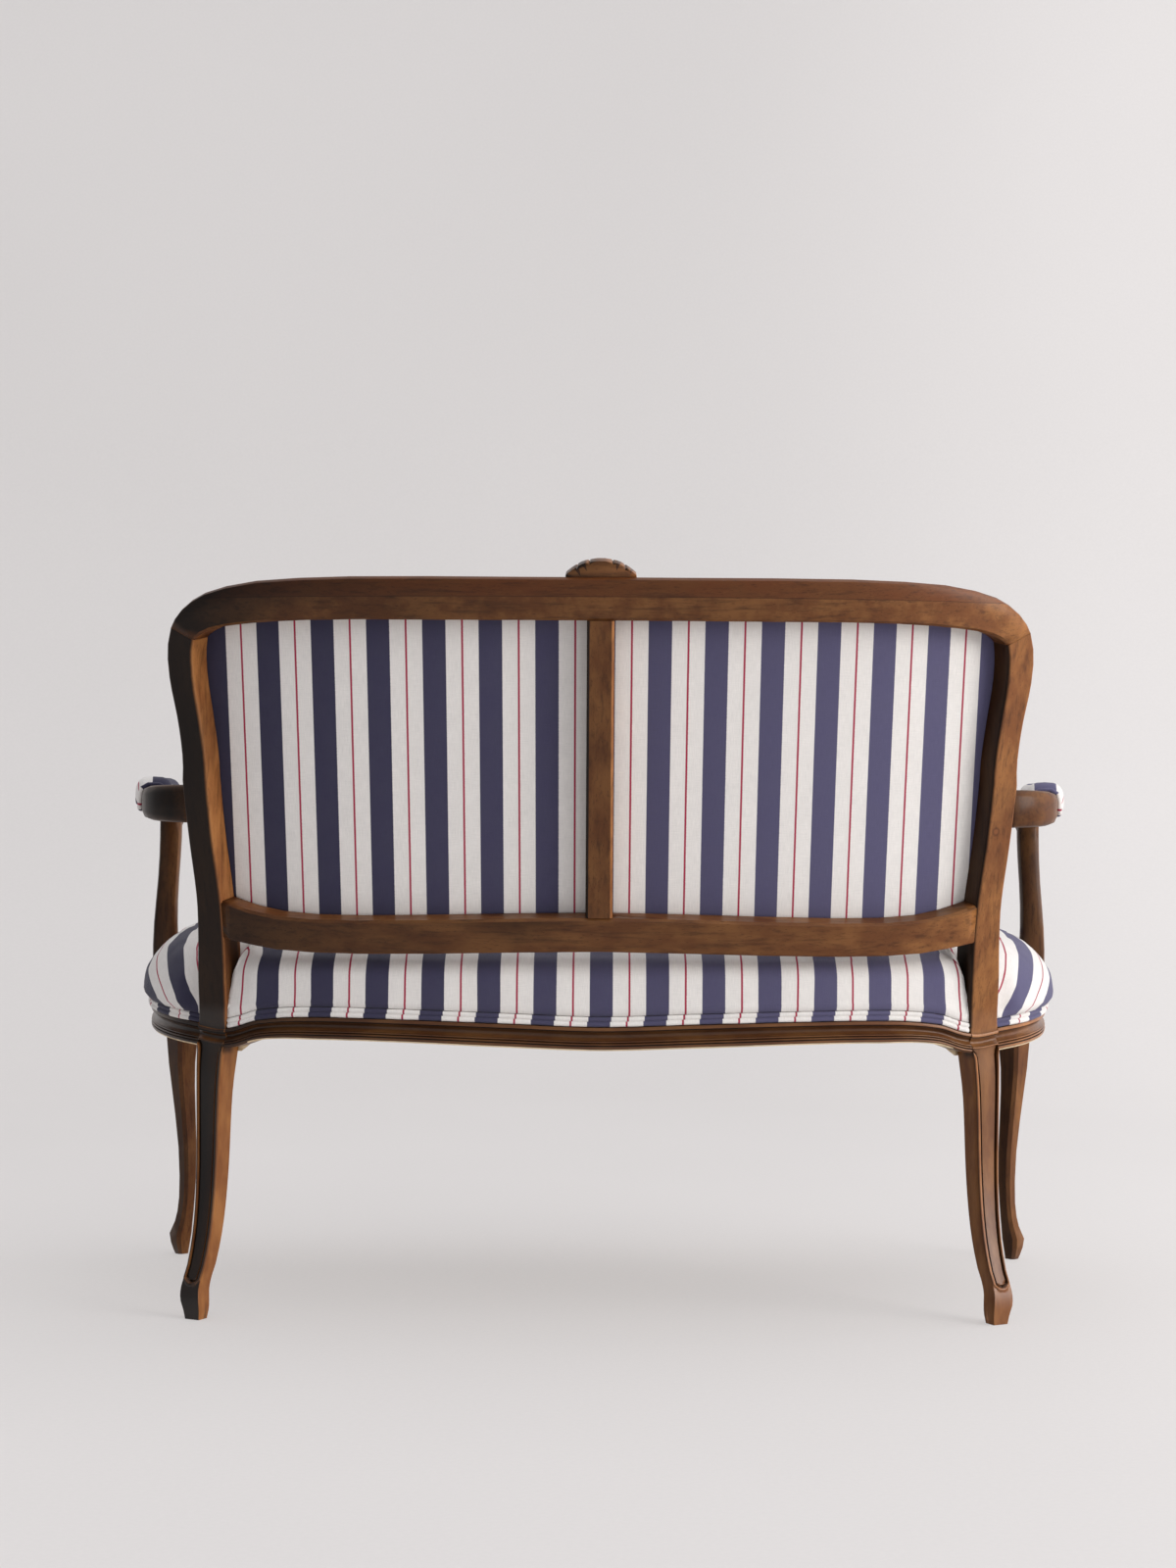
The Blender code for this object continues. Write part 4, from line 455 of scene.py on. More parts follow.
def grown_coordinates(tree, along, long_scale=1.0, cross_scale=12.0):
    """Object coordinates drawn out along the grain, which runs along one axis."""
    scale = [cross_scale] * 3
    scale["xyz".index(along)] = long_scale
    return scaled(tree, object_place(tree), scale)


def dark_cuts(tree, colour, dark):
    """Thin carved cuts that run down a face, drawn from x and z."""
    split = split_up(tree, object_place(tree))
    for x, slope, low in CARVED_CUTS:
        height = calc(tree, "SUBTRACT", split[2], CREST_TOP)
        middle = calc(tree, "MULTIPLY_ADD", height, slope, x)
        off = calc(tree, "SUBTRACT", split[0], middle)
        wide = between(tree, height, low, low + 0.010, 0.0, 0.0026)
        inside = calc(tree, "LESS_THAN", calc(tree, "ABSOLUTE", off), wide)
        colour = blend_colour(tree, calc(tree, "MULTIPLY", inside, 0.85), colour, dark)
    return colour


def joined_colours(tree, finish, height, line_at, figure, mottle):
    """Colours of two glued layers: redder above the joint, flecked below, and a dark line."""
    upper = between(tree, height, line_at - 0.0006, line_at + 0.0006)
    redder = blend_colour(tree, between(tree, figure, 0.32, 0.70), finish.stain_red, finish.stain)
    flecked = blend_colour(tree, between(tree, mottle, 0.40, 0.62), finish.stain,
                           finish.stain_light)
    colour = blend_colour(tree, upper, flecked, redder)
    line = calc(tree, "ABSOLUTE", calc(tree, "SUBTRACT", height, line_at))
    return blend_colour(tree, between(tree, line, 0.0002, 0.0009, 0.55, 0.0), colour,
                        finish.stain_dark)


def make_stained_wood(name, along, finish, joint_height=None, cuts=False, knot=None,
                      glossy_below=1.0):
    """Stained and polished beech with streaks and flecks, and painted light and shade.

    Below the height glossy_below the polish is glossy and hides most of the grain.
    """
    material, tree, shader = new_material(name)
    plain = object_place(tree)
    streaks = cloudy(tree, grown_coordinates(tree, along, 1.6, 22.0), 9.0, 5.0, 0.65)
    pores = cloudy(tree, grown_coordinates(tree, along, 1.0, 7.0), 130.0, 2.0, 0.5)
    figure = cloudy(tree, grown_coordinates(tree, along, 1.0, 2.6), 14.0, 3.0, 0.6)
    mottle = cloudy(tree, plain, 24.0, 4.0, 0.62)
    wear = cloudy(tree, plain, 6.0, 3.0, 0.6)
    light = finish.stain_light
    dark = finish.stain_dark
    high = split_up(tree, plain)[2]
    colour = blend_colour(tree, between(tree, figure, 0.34, 0.66), finish.stain, light)
    if joint_height is not None:
        height = calc(tree, "ADD", high,
                      calc(tree, "MULTIPLY", calc(tree, "SUBTRACT", wear, 0.5), 0.0016))
        colour = joined_colours(tree, finish, height, joint_height, figure, mottle)
    grain = between(tree, high, glossy_below, glossy_below + 0.02, 0.30, 1.0)
    for pattern, low, top, much, tint in ((streaks, 0.46, 0.74, 0.62, dark),
                                          (pores, 0.60, 0.72, 0.55, dark),
                                          (pores, 0.40, 0.26, 0.28, light)):
        share = calc(tree, "MULTIPLY", grain, between(tree, pattern, low, top, 0.0, much))
        colour = blend_colour(tree, share, colour, tint)
    colour = blend_colour(tree, between(tree, wear, 0.52, 0.78, 0.0, 0.35), colour, dark)
    if knot is not None:
        away = put(tree, "ShaderNodeVectorMath", {0: plain, 1: knot},
                   operation="DISTANCE").outputs["Value"]
        colour = blend_colour(tree, between(tree, away, 0.0040, 0.0072, 0.60, 0.0), colour, dark)
        colour = blend_colour(tree, between(tree, away, 0.0020, 0.0048, 0.7, 0.0), colour,
                              finish.knot)
    if cuts:
        colour = dark_cuts(tree, colour, dark)
    # Painted light and shade: lighter facing the light, darker in grooves, lighter on crests
    grime = stored(tree, "grime")
    tone = calc(tree, "MULTIPLY", linear(tree, stored(tree, "tone"), 0.0, 1.0, 0.06, 2.20),
                linear(tree, grime, -1.0, 1.0, 1.55, 0.15))
    tree.links.new(shaded(tree, colour, tone), shader.inputs["Base Color"])
    rough = calc(tree, "MULTIPLY_ADD", wear, 0.16, finish.wood_roughness - 0.06)
    rough = calc(tree, "MULTIPLY_ADD", pores, 0.08, rough)
    tree.links.new(rough, shader.inputs["Roughness"])
    relief = calc(tree, "ADD", calc(tree, "MULTIPLY", streaks, 0.6),
                  calc(tree, "MULTIPLY", pores, 0.4))
    add_bump(tree, shader, relief, calc(tree, "MULTIPLY", grain, 0.22), 0.0006)
    polish = between(tree, high, glossy_below, glossy_below + 0.02, finish.gloss, finish.coat)
    polish = calc(tree, "MULTIPLY", calc(tree, "MULTIPLY", polish, stored(tree, "shine")),
                  calc(tree, "SUBTRACT", 1.3, calc(tree, "ABSOLUTE", grime)))
    tree.links.new(polish, shader.inputs["Coat Weight"])
    shader.inputs["Coat Roughness"].default_value = 0.22
    shader.inputs["Specular IOR Level"].default_value = 0.12
    return material


def make_raw_wood(name, along, finish):
    """Plain beech, sawn and not stained, with some smears of stain."""
    material, tree, shader = new_material(name)
    plain = put(tree, "ShaderNodeTexCoord").outputs["Object"]
    streaks = cloudy(tree, grown_coordinates(tree, along, 1.5, 18.0), 9.0, 4.0, 0.6)
    saw = cloudy(tree, grown_coordinates(tree, along, 40.0, 3.0), 9.0, 2.0, 0.5)
    smear = cloudy(tree, plain, 18.0, 3.0, 0.6)
    pale = finish.raw_wood
    brown = [c * 0.62 for c in pale]
    colour = blend_colour(tree, between(tree, streaks, 0.36, 0.70), pale, brown)
    colour = blend_colour(tree, between(tree, smear, 0.62, 0.78, 0.0, 0.55), colour,
                          finish.stain_light)
    tree.links.new(colour, shader.inputs["Base Color"])
    tree.links.new(between(tree, smear, 0.2, 0.8, 0.62, 0.80), shader.inputs["Roughness"])
    add_bump(tree, shader, calc(tree, "ADD", streaks, saw), 0.35, 0.0006)
    return material


def make_striped_cloth(name, scene, factor=1.0):
    """Woven cloth whose stripes run along V, with U across them, both in metres."""
    finish = scene.settee_finish
    sizes = scene.settee_sizes
    material, tree, shader = new_material(name)
    uv = put(tree, "ShaderNodeUVMap", uv_map="UVMap").outputs[0]
    u, v = split_up(tree, uv)[:2]
    pitch = sizes.stripe_pitch / factor
    warp_tone = cloudy(tree, scaled(tree, uv, (1500.0, 70.0, 1.0)), 1.0, 2.0, 0.6)
    weft_tone = cloudy(tree, scaled(tree, uv, (70.0, 1500.0, 1.0)), 1.0, 2.0, 0.6)
    hazy = cloudy(tree, uv, 30.0, 4.0, 0.6)
    jitter = calc(tree, "MULTIPLY", calc(tree, "SUBTRACT", weft_tone, 0.5), 0.0007)
    across = calc(tree, "ADD", u, jitter)
    turns = calc(tree, "DIVIDE", calc(tree, "SUBTRACT", across, sizes.stripe_start), pitch)
    phase = calc(tree, "SUBTRACT", calc(tree, "FRACT", calc(tree, "ADD", turns, 0.5)), 0.5)
    from_navy = calc(tree, "MULTIPLY", calc(tree, "ABSOLUTE", phase), pitch)
    from_red = calc(tree, "SUBTRACT", pitch / 2, from_navy)
    half_navy = sizes.navy_width / 2
    half_red = sizes.pin_width / 2
    navy = between(tree, from_navy, half_navy - 0.0003, half_navy + 0.0003, 1.0, 0.0)
    red = between(tree, from_red, half_red - 0.0003, half_red + 0.0003, 1.0, 0.0)
    # Painted light and shade: the navy is drawn darker on the left and brighter on the right
    painted_light_across = between(tree, split_up(tree, object_place(tree))[0], -0.55, 0.60)
    blue = blend_colour(tree, painted_light_across, finish.navy_shaded, finish.navy)
    colour = blend_colour(tree, navy, finish.ivory, blue)
    colour = blend_colour(tree, red, colour, finish.crimson)
    shade = calc(tree, "MULTIPLY_ADD", warp_tone, 0.30, 0.85)
    shade = calc(tree, "MULTIPLY", shade, calc(tree, "MULTIPLY_ADD", weft_tone, 0.22, 0.89))
    shade = calc(tree, "MULTIPLY", shade, calc(tree, "MULTIPLY_ADD", hazy, 0.12, 0.94))
    tree.links.new(shaded(tree, colour, shade), shader.inputs["Base Color"])
    tree.links.new(between(tree, hazy, 0.3, 0.7, 0.78, 0.88), shader.inputs["Roughness"])
    warp = calc(tree, "SINE", calc(tree, "MULTIPLY", u, 2 * math.pi / 0.00085))
    weft = calc(tree, "SINE", calc(tree, "MULTIPLY", v, 2 * math.pi / 0.00075))
    weave = calc(tree, "ADD", calc(tree, "MULTIPLY", warp, weft),
                 calc(tree, "ADD", warp_tone, weft_tone))
    add_bump(tree, shader, calc(tree, "MULTIPLY_ADD", hazy, 2.0, weave), 0.35, 0.00012)
    shader.inputs["Sheen Weight"].default_value = 0.12
    shader.inputs["Sheen Roughness"].default_value = 0.5
    return material


def make_plain_weave(name, colour, thread, dark=0.45, stripe=None):
    """Coarse woven strip or hessian, from its own UV map in metres."""
    material, tree, shader = new_material(name)
    uv = put(tree, "ShaderNodeUVMap", uv_map="UVMap").outputs[0]
    u, v = split_up(tree, uv)[:2]
    warp = calc(tree, "SINE", calc(tree, "MULTIPLY", u, math.pi / thread))
    weft = calc(tree, "SINE", calc(tree, "MULTIPLY", v, math.pi / thread))
    weave = calc(tree, "MULTIPLY", warp, weft)
    grid = calc(tree, "MAXIMUM", calc(tree, "ABSOLUTE", warp), calc(tree, "ABSOLUTE", weft))
    slub = cloudy(tree, scaled(tree, uv, (900.0, 60.0, 1.0)), 1.0)
    deep = [c * dark for c in colour]
    tone = blend_colour(tree, between(tree, slub, 0.35, 0.70), colour, [c * 0.72 for c in colour])
    if stripe:
        place = calc(tree, "ABSOLUTE", calc(tree, "SUBTRACT", u, stripe[0]))
        tone = blend_colour(tree, between(tree, place, stripe[1], stripe[1] + 0.0004, 1.0, 0.0),
                            tone, stripe[2])
    tone = blend_colour(tree, between(tree, grid, 0.25, 0.70, 0.8, 0.0), tone, deep)
    tree.links.new(tone, shader.inputs["Base Color"])
    shader.inputs["Roughness"].default_value = 0.92
    add_bump(tree, shader, calc(tree, "ADD", weave, slub), 0.6, 0.0004)
    return material


# Meshes

# Points closer than this are one
MERGE = 0.00002


def skin(name, rows, maps, wrap_rows=False, wrap_points=False, **marks):
    """Mesh over a grid of points, with a UV pair for each corner of the grid.

    A further keyword gives each point a value, kept as an attribute of that name: grime and
    shade from -1, a painted highlight on rubbed wear, to 1, painted shade with old polish, or
    held, 1 where stuffing can't move it.
    """
    bm = bmesh.new()
    layer = bm.loops.layers.uv.new("UVMap")
    kept = {label: bm.verts.layers.float.new(label) for label in marks}
    grid = [[bm.verts.new(p + CENTRE_SHIFT) for p in row] for row in rows]
    for label, values in marks.items():
        for line, row in zip(grid, values):
            for vertex, value in zip(line, row):
                vertex[kept[label]] = value
    count = len(rows[0])
    row_total = len(rows) if wrap_rows else len(rows) - 1
    point_total = count if wrap_points else count - 1
    for i in range(row_total):
        for j in range(point_total):
            corners = []
            for a, b in ((i, j), (i, j + 1), (i + 1, j + 1), (i + 1, j)):
                vertex = grid[a % len(rows)][b % count]
                if all(vertex is not other for other, place in corners):
                    corners.append((vertex, maps[a][b]))
            if len(corners) > 2:
                face = bm.faces.new([vertex for vertex, place in corners])
                for loop, (vertex, place) in zip(face.loops, corners):
                    loop[layer].uv = place
    return name, bm


def settle(made, material, caps=False, sharp=None):
    """Close, orient and smooth a mesh, and put it in the scene as an object."""
    name, bm = made
    bmesh.ops.remove_doubles(bm, verts=bm.verts, dist=MERGE)
    if caps:
        edges = [edge for edge in bm.edges if edge.is_boundary]
        bmesh.ops.holes_fill(bm, edges=edges)
    bmesh.ops.recalc_face_normals(bm, faces=bm.faces)
    mesh = bpy.data.meshes.new(name)
    bm.to_mesh(mesh)
    bm.free()
    mesh.materials.append(material)
    mesh.shade_smooth()
    if sharp:
        mesh.set_sharp_from_angle(angle=math.radians(sharp))
    piece = bpy.data.objects.new(name, mesh)
    bpy.context.collection.objects.link(piece)
    return piece


# Directions from which painted light and painted shade fall on the wood
LIGHT_SIDE = Vector((0.88, -0.47, 0.05))
DARK_SIDE = Vector((-0.50, -0.87, 0.0))


def paint_light_and_shade(piece, much=1.0, level=0.5, within=0.0):
    """Store at each corner of a mesh its painted light and shade, and how much shine it has left.

    Faces turned to the light are painted lightest. Those at the back and at the ends shine most.
    Below the seat the inner sides of a leg get more painted light, by the value within.
    """
    mesh = piece.data
    mesh.attributes.new("tone", "FLOAT", "CORNER")
    mesh.attributes.new("shine", "FLOAT", "CORNER")
    tone = mesh.attributes["tone"].data
    shine = mesh.attributes["shine"].data
    for loop in mesh.loops:
        normal = mesh.corner_normals[loop.index].vector
        faced = max(0.0, normal.dot(LIGHT_SIDE))
        away = min(1.0, 1.0 - normal.dot(DARK_SIDE))
        tone[loop.index].value = level + (0.70 * faced + 0.60 * away - 0.5) * much
        outward = math.copysign(normal.x, normal.x * mesh.vertices[loop.vertex_index].co.x)
        shine[loop.index].value = min(1.0, max(0.0, 0.1 - 1.1 * normal.y + outward))
        if mesh.vertices[loop.vertex_index].co.z < SEAT_LINE:
            tone[loop.index].value += within * max(0.0, -outward)
    return piece


def stand_for(piece, slot, *nodes):
    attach(piece, "root")
    if nodes:
        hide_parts(*nodes)
    return piece


def stuff(piece, most, pressure=4.0, frames=20):
    """Swell a cover by its stuffing: cloth under pressure, with its held points pinned.

    No point ends further than most from where it was laid.
    """
    scene = bpy.context.scene
    laid = [vertex.co.copy() for vertex in piece.data.vertices]
    marks = piece.data.attributes["held"].data
    pins = piece.vertex_groups.new(name="held")
    pins.add([i for i, mark in enumerate(marks) if mark.value > 0.5], 1.0, "REPLACE")
    select_only(piece)
    bpy.ops.object.modifier_add(type="CLOTH")
    cloth = piece.modifiers[-1]
    cloth.settings.vertex_group_mass = "held"
    cloth.settings.quality = 6
    cloth.settings.mass = 0.25
    cloth.settings.tension_stiffness = 20.0
    cloth.settings.compression_stiffness = 20.0
    cloth.settings.shear_stiffness = 8.0
    cloth.settings.bending_stiffness = 1.5
    cloth.settings.use_pressure = True
    cloth.settings.uniform_pressure_force = pressure
    cloth.settings.effector_weights.gravity = 0.0
    cloth.collision_settings.use_collision = False
    cloth.point_cache.frame_start = 1
    cloth.point_cache.frame_end = frames
    for frame in range(1, frames + 1):
        scene.frame_set(frame)
    swollen = piece.evaluated_get(bpy.context.evaluated_depsgraph_get()).data
    ends = [vertex.co.copy() for vertex in swollen.vertices]
    piece.modifiers.remove(cloth)
    piece.vertex_groups.remove(pins)
    scene.frame_set(1)
    for vertex, start, end in zip(piece.data.vertices, laid, ends):
        move = end - start
        vertex.co = start + move * (most / (most + move.length))
    piece.data.update()


def select_only(piece):
    bpy.ops.object.select_all(action="DESELECT")
    piece.select_set(True)
    bpy.context.view_layer.objects.active = piece


def merged_copy(node, name, material, quads=False):
    """Copy of a node as a new piece, with its doubled points merged."""
    select_only(frame["nodes"][node])
    bpy.ops.object.duplicate()
    piece = bpy.context.object
    piece.name = name
    bpy.ops.object.mode_set(mode="EDIT")
    bpy.ops.mesh.select_all(action="SELECT")
    bpy.ops.mesh.remove_doubles(threshold=MERGE)
    if quads:
        bpy.ops.mesh.tris_convert_to_quads(face_threshold=math.radians(8),
                                           shape_threshold=math.radians(60))
    bpy.ops.object.mode_set(mode="OBJECT")
    piece.data.materials.clear()
    piece.data.materials.append(material)
    return piece


def thicken(piece, thickness, offset=-1.0):
    """Give a cloth its thickness, to one side."""
    select_only(piece)
    solid = piece.modifiers.new("Thickness", "SOLIDIFY")
    solid.thickness = thickness
    solid.offset = offset
    bpy.ops.object.modifier_apply(modifier=solid.name)


def polish_node(node, material, slot="stained_beech", angle=32, painted_light_range=1.0, level=0.5):
    """Merged copy of a frame member with soft shading, which stands for it."""
    piece = merged_copy(node, node + "_finish", material, quads=True)
    bpy.ops.object.shade_smooth_by_angle(angle=math.radians(angle))
    return stand_for(paint_light_and_shade(piece, painted_light_range, level), slot, node)


def dense(values, step):
    """Values filled in so that neighbours are at most a step apart."""
    filled = [values[0]]
    for value in values[1:]:
        start = filled[-1]
        count = max(1, math.ceil(abs(value - start) / step - 1e-6))
        filled.extend(start + (value - start) * k / count for k in range(1, count + 1))
    return filled


# Frame members with a finer moulding

FILLET = 0.0040
COVE_START = 0.0052
COVE_END = 0.0160
COVE_DEEP = 0.0046
GROOVE = 0.0026
BEADS = ((0.0163, 0.0185, 0.0010), (0.0195, 0.0218, 0.0004), (0.0229, 0.0264, 0.0002))
BEAD_BULGE = 0.0012
LOWER_ARRIS = 0.0024
CARVED_CUTS = ((-0.0226, -0.55, 0.0010), (-0.0118, -0.55, 0.0075),
               (0.0163, 0.20, 0.0080), (0.0318, 0.40, 0.0045))


def mould(depth):
    """How far the moulding is cut in, at a depth below its upper line."""
    if depth < FILLET:
        return 0.0005 * (1 - ramp(0.0, 0.0012, depth))
    if depth < COVE_START:
        return GROOVE
    if depth < COVE_END:
        turn = math.pi * (depth - COVE_START) / (COVE_END - COVE_START)
        return 0.0014 + COVE_DEEP * math.sin(turn)
    for start, end, inset in BEADS:
        if start <= depth <= end:
            across = (depth - start) / (end - start) * 2 - 1
            return inset + BEAD_BULGE * (1 - math.sqrt(max(0.0, 1 - across * across)))
    return GROOVE


def mould_grime(depth):
    """Painted shade with grime, dark in the moulding's grooves, and a painted highlight with
    rubbing, light on its crests.
    """
    if depth < FILLET:
        return -0.35
    if depth < COVE_START:
        return 1.0
    if depth < COVE_END:
        return 0.15 + 0.35 * (1 - ramp(COVE_START, COVE_END, depth))
    for start, end, inset in BEADS:
        if start <= depth <= end:
            return -0.20 + 1.0 * ramp(0.0, BEAD_BULGE, mould(depth) - inset)
    return 1.0


def mould_depths():
    """Depths of the points of the moulding's section."""
    depths = [0.0, 0.0006, 0.0013, FILLET - 0.0001, FILLET + 0.0001, COVE_START - 0.0001]
    depths.extend(COVE_START + (COVE_END - COVE_START - 0.0001) * k / 10 for k in range(11))
    for bead in BEADS:
        start, end = bead[:2]
        for k in range(7):
            depths.append((start + end - (end - start) * math.cos(math.pi * k / 6)) / 2)
        depths.append(end + 0.0004)
    return depths[:-1]


MOULD_DEPTHS = mould_depths()


def rail_row(point, out, line, deep):
    """Section of a seat rail: down its moulded face and back up the inside."""
    face = point - out * RAIL_SHY
    factor = deep / MOULD_DEEP
    row = []
    for depth in MOULD_DEPTHS:
        p = face - out * mould(depth)
        row.append(Vector((p.x, p.y, line - depth * factor)))
    for back, z in ((LOWER_ARRIS, line - deep), (RAIL_THICK, line - deep),
                    (RAIL_THICK, RAIL_TOP), (REBATE_SEAT, RAIL_TOP),
                    (REBATE_SEAT, line + 0.0004)):
        p = face - out * back
        row.append(Vector((p.x, p.y, z)))
    return row


def make_rail(name, node, run, stained, raw, side=1, raw_to=1.0):
    """Moulded seat rail, left raw on its underside, out to a distance from the middle."""
    rows = [[sided(side, p) for p in rail_row(*place)] for place in run]
    maps = [[(p.x, p.z) for p in row + row[:1]] for row in rows]
    # Grime with painted shade in the grooves and a painted highlight on the crests
    grime = [[mould_grime(depth) for depth in MOULD_DEPTHS] + [0.0] * 5 for row in rows]
    piece = settle(skin(name, rows, maps, wrap_points=True, grime=grime), stained, caps=True,
                   sharp=30)
    piece.data.materials.append(raw)
    sides = len(rows[0])
    under = (len(MOULD_DEPTHS) - 1, len(MOULD_DEPTHS))
    for i in range(len(rows) - 1):
        for j in under:
            if abs(rows[i][0].x) < raw_to:
                piece.data.polygons[i * sides + j].material_index = 1
    return stand_for(paint_light_and_shade(piece, 0.75, 0.38), "stained_beech", node)


def rear_rail_run():
    run = []
    for x in dense([-0.4630, 0.4630], 0.006):
        point, out, line = rear_place(x)
        deep = MOULD_DEEP - 0.0012 * ramp(0.1, 0.3, abs(x)) - 0.0030 * ramp(0.34, 0.42, abs(x))
        run.append((Vector((point.x, point.y, 0.0)), out, line, deep))
    return run


def side_rail_run():
    return [(*side_place(t), MOULD_DEEP + 0.004 * ramp(0.75, 1.0, t))
            for t in dense([0.034, 1.0], 0.010)]


def front_rail_run():
    return [(*front_place(x), front_deep(x)) for x in dense([-0.5720, 0.5720], 0.006)]


PANEL_TOP = 0.0186
BORDER = 0.0026
BORDER_HALF = 0.0024
BORDER_RISE = 0.0015
OUTER_NARROW = 1.5
PANEL_SUNK = 0.0030
PANEL_TILT = 0.0018
BORDER_TURN = 0.0130
TURN_BELOW = 0.0326
FOOT_PANEL = 0.0400


def leg_face(inner, outer, z, line):
    """How far a leg's rear face is cut in, and its grime with painted shade and highlight:
    moulding, then a beaded panel.

    Inner and outer are the distances from the face's two edges.
    """
    below = line - z
    if below <= 0.0:
        return 0.0012 * (1 - ramp(0.002, 0.012, -below)), 0.3 * (1 - ramp(0.0, 0.004, -below))
    if below < PANEL_TOP:
        return mould(below), mould_grime(below)
    turn = line - TURN_BELOW
    middle = abs(inner - outer) / (inner + outer)
    near = z - FOOT_PANEL - 0.010 * middle**2
    for edge in (inner, outer * OUTER_NARROW):
        if z > turn:
            edge = math.hypot(edge + BORDER_TURN - BORDER, z - turn) - BORDER_TURN + BORDER
        near = min(near, edge)
    off = (near - BORDER) / BORDER_HALF
    if off < -1.0:
        return 0.0010, 0.0
    if off < 1.0:
        return 0.0012 - BORDER_RISE * math.sqrt(1 - off * off), -0.4 + 1.0 * off * off
    tilt = PANEL_TILT * ramp(turn - 0.030, turn + 0.014, z)
    if off < 2.05:
        return PANEL_SUNK + 0.0006 + tilt, 1.0
    return PANEL_SUNK - 0.0008 * (1 - middle**2) + tilt, 0.45 - 0.25 * (1 - middle)


def face_places(wide):
    """Places across a stile's rear face, close together where the border bead runs."""
    near = [0.0003, 0.0009, 0.0016, 0.0026, 0.0036, 0.0044, 0.0050, 0.0054, 0.0072, 0.0080]
    middle = [0.0080 + (wide - 0.0080 * (1 + 1 / OUTER_NARROW)) * part
              for part in (0.16, 0.33, 0.5, 0.67, 0.84)]
    return near + middle + [wide - u / OUTER_NARROW for u in reversed(near)]


def stile_section(wide, deep, soft, rebate, wrap, relief, hole_shadow=0.0, side_shade=0.0):
    """Section of a stile: places across it and inward from its rear surface, and grime with painted
    shade and highlight.
    """
    points = []
    for u in face_places(wide):
        edge = min(u, wide - u, soft)
        cut, grime = relief(u)
        points.append((u, soft - math.sqrt(soft**2 - (soft - edge)**2) + cut, grime))
    edges = [(wide - wrap * 0.5, soft + wrap, side_shade), (wide, deep - ROUNDING, 0.0),
             (wide - 0.0009, deep - 0.0009, 0.0), (wide - ROUNDING, deep, 0.0),
             (rebate + 0.0012, deep, 0.0), (rebate, deep - 0.0012, 0.0),
             (rebate * 0.999, deep - REBATE_DEEP, hole_shadow),
             (0.0, deep - REBATE_DEEP - 0.0001, hole_shadow), (0.0, 0.0160, max(hole_shadow, side_shade)),
             (0.0, 0.0085, 0.7 * hole_shadow + side_shade),
             (0.0, soft + relief(0.0)[0], 0.5 * hole_shadow + side_shade)]
    return points + edges


def stile_row(z):
    """Section of the right stile or rear leg at a height."""
    x_in = stile_inner(z)
    a = rear_point(x_in, z)
    along = rear_point(x_in + stile_across(z), z) - a
    wide = along.length
    along.normalize()
    through = Vector((-along.y, along.x, 0.0)).normalized()
    lean = RAKE * ramp(SEAT_LINE - 0.02, SEAT_LINE + 0.06, z)
    through = (through + Vector((0, 0, lean))).normalized()
    line = mould_line_rear(LEG_MIDDLE_X)
    soft = 0.0008 + (ROUNDING - 0.0008) * ramp(line, line + 0.012, z)
    rebate = REBATE_WIDE * ramp(0.462, 0.474, z)
    wrap = 0.0
    if z < line:
        wrap = mould(line - z) if line - z < PANEL_TOP else 0.0010
    # Painted shadow: the inner side is drawn dark beside the seat, where the opening lies in shade
    hole_shadow = ramp(0.375, 0.395, z) * (1 - ramp(0.468, 0.478, z))
    # Painted shade: the sides are drawn dark at the rails' height, where the rails meet the leg
    side_shade = 0.9 * ramp(line - 0.034, line - 0.026, z) * (1 - ramp(line, line + 0.006, z))
    section = stile_section(wide, stile_deep(z), soft, rebate, wrap,
                            lambda u: leg_face(u, wide - u, z, line), hole_shadow, side_shade)
    follow = ramp(line - 0.0645, line - 0.0365, z) * (1 - ramp(line + 0.0115, line + 0.0405, z))
    row = []
    for u, n, grime in section:
        p = a + along * u + through * n
        p.z += follow * (mould_line_rear(x_in + u * along.x) - line)
        row.append((p, grime))
    return row


def shoulder_row(inner, outer):
    """Slanted section at the right stile's shoulder."""
    a = rear_point(*inner)
    along = rear_point(*outer) - a
    wide = along.length
    along.normalize()
    through = inward((inner[0] + outer[0]) / 2, inner[1])
    through = (through - along * through.dot(along)).normalized()
    section = stile_section(wide, FRAME_THICK, ROUNDING, REBATE_WIDE, 0.0, lambda u: (0.0, 0.0))
    return [(a + along * u + through * n, grime) for u, n, grime in section]


def stile_heights():
    line = mould_line_rear(LEG_MIDDLE_X)
    shoulder = STILE_SHOULDER[0][0][1]
    heights = [0.0, 0.003, 0.010, 0.016, 0.022, 0.028, 0.034]
    heights.extend(dense([0.0385, 0.0580], 0.0014))
    heights.extend(dense([0.066, line - 0.0645], 0.018))
    heights.extend(dense([line - 0.058, line - 0.036], 0.0045))
    heights.extend(dense([line - 0.0335, line - PANEL_TOP - 0.0001], 0.0011))
    heights.extend(line - depth for depth in reversed(MOULD_DEPTHS) if depth < PANEL_TOP)
    heights.extend([line + 0.0006, line + 0.0035, line + 0.0080, line + 0.0135])
    heights.extend(dense([0.388, 0.455], 0.012))
    heights.extend([0.462, 0.468, 0.474])
    heights.extend(dense([0.490, shoulder - 0.018], 0.016))
    return heights


def make_stile(side, name, node, material):
    """Back stile in one with its rear leg."""
    rows = [stile_row(z) for z in stile_heights()]
    rows.extend(shoulder_row(inner, outer) for inner, outer in STILE_SHOULDER)
    grime = [[value for p, value in row] for row in rows]
    rows = [[sided(side, p) for p, value in row] for row in rows]
    maps = [[(p.x, p.z) for p in row + row[:1]] for row in rows]
    piece = settle(skin(name, rows, maps, wrap_points=True, grime=grime), material, caps=True,
                   sharp=34)
    # Painted light on the inner sides of the right rear leg, below the seat
    return stand_for(paint_light_and_shade(piece, within=0.55 if side > 0 else 0.0), "stained_beech", node)


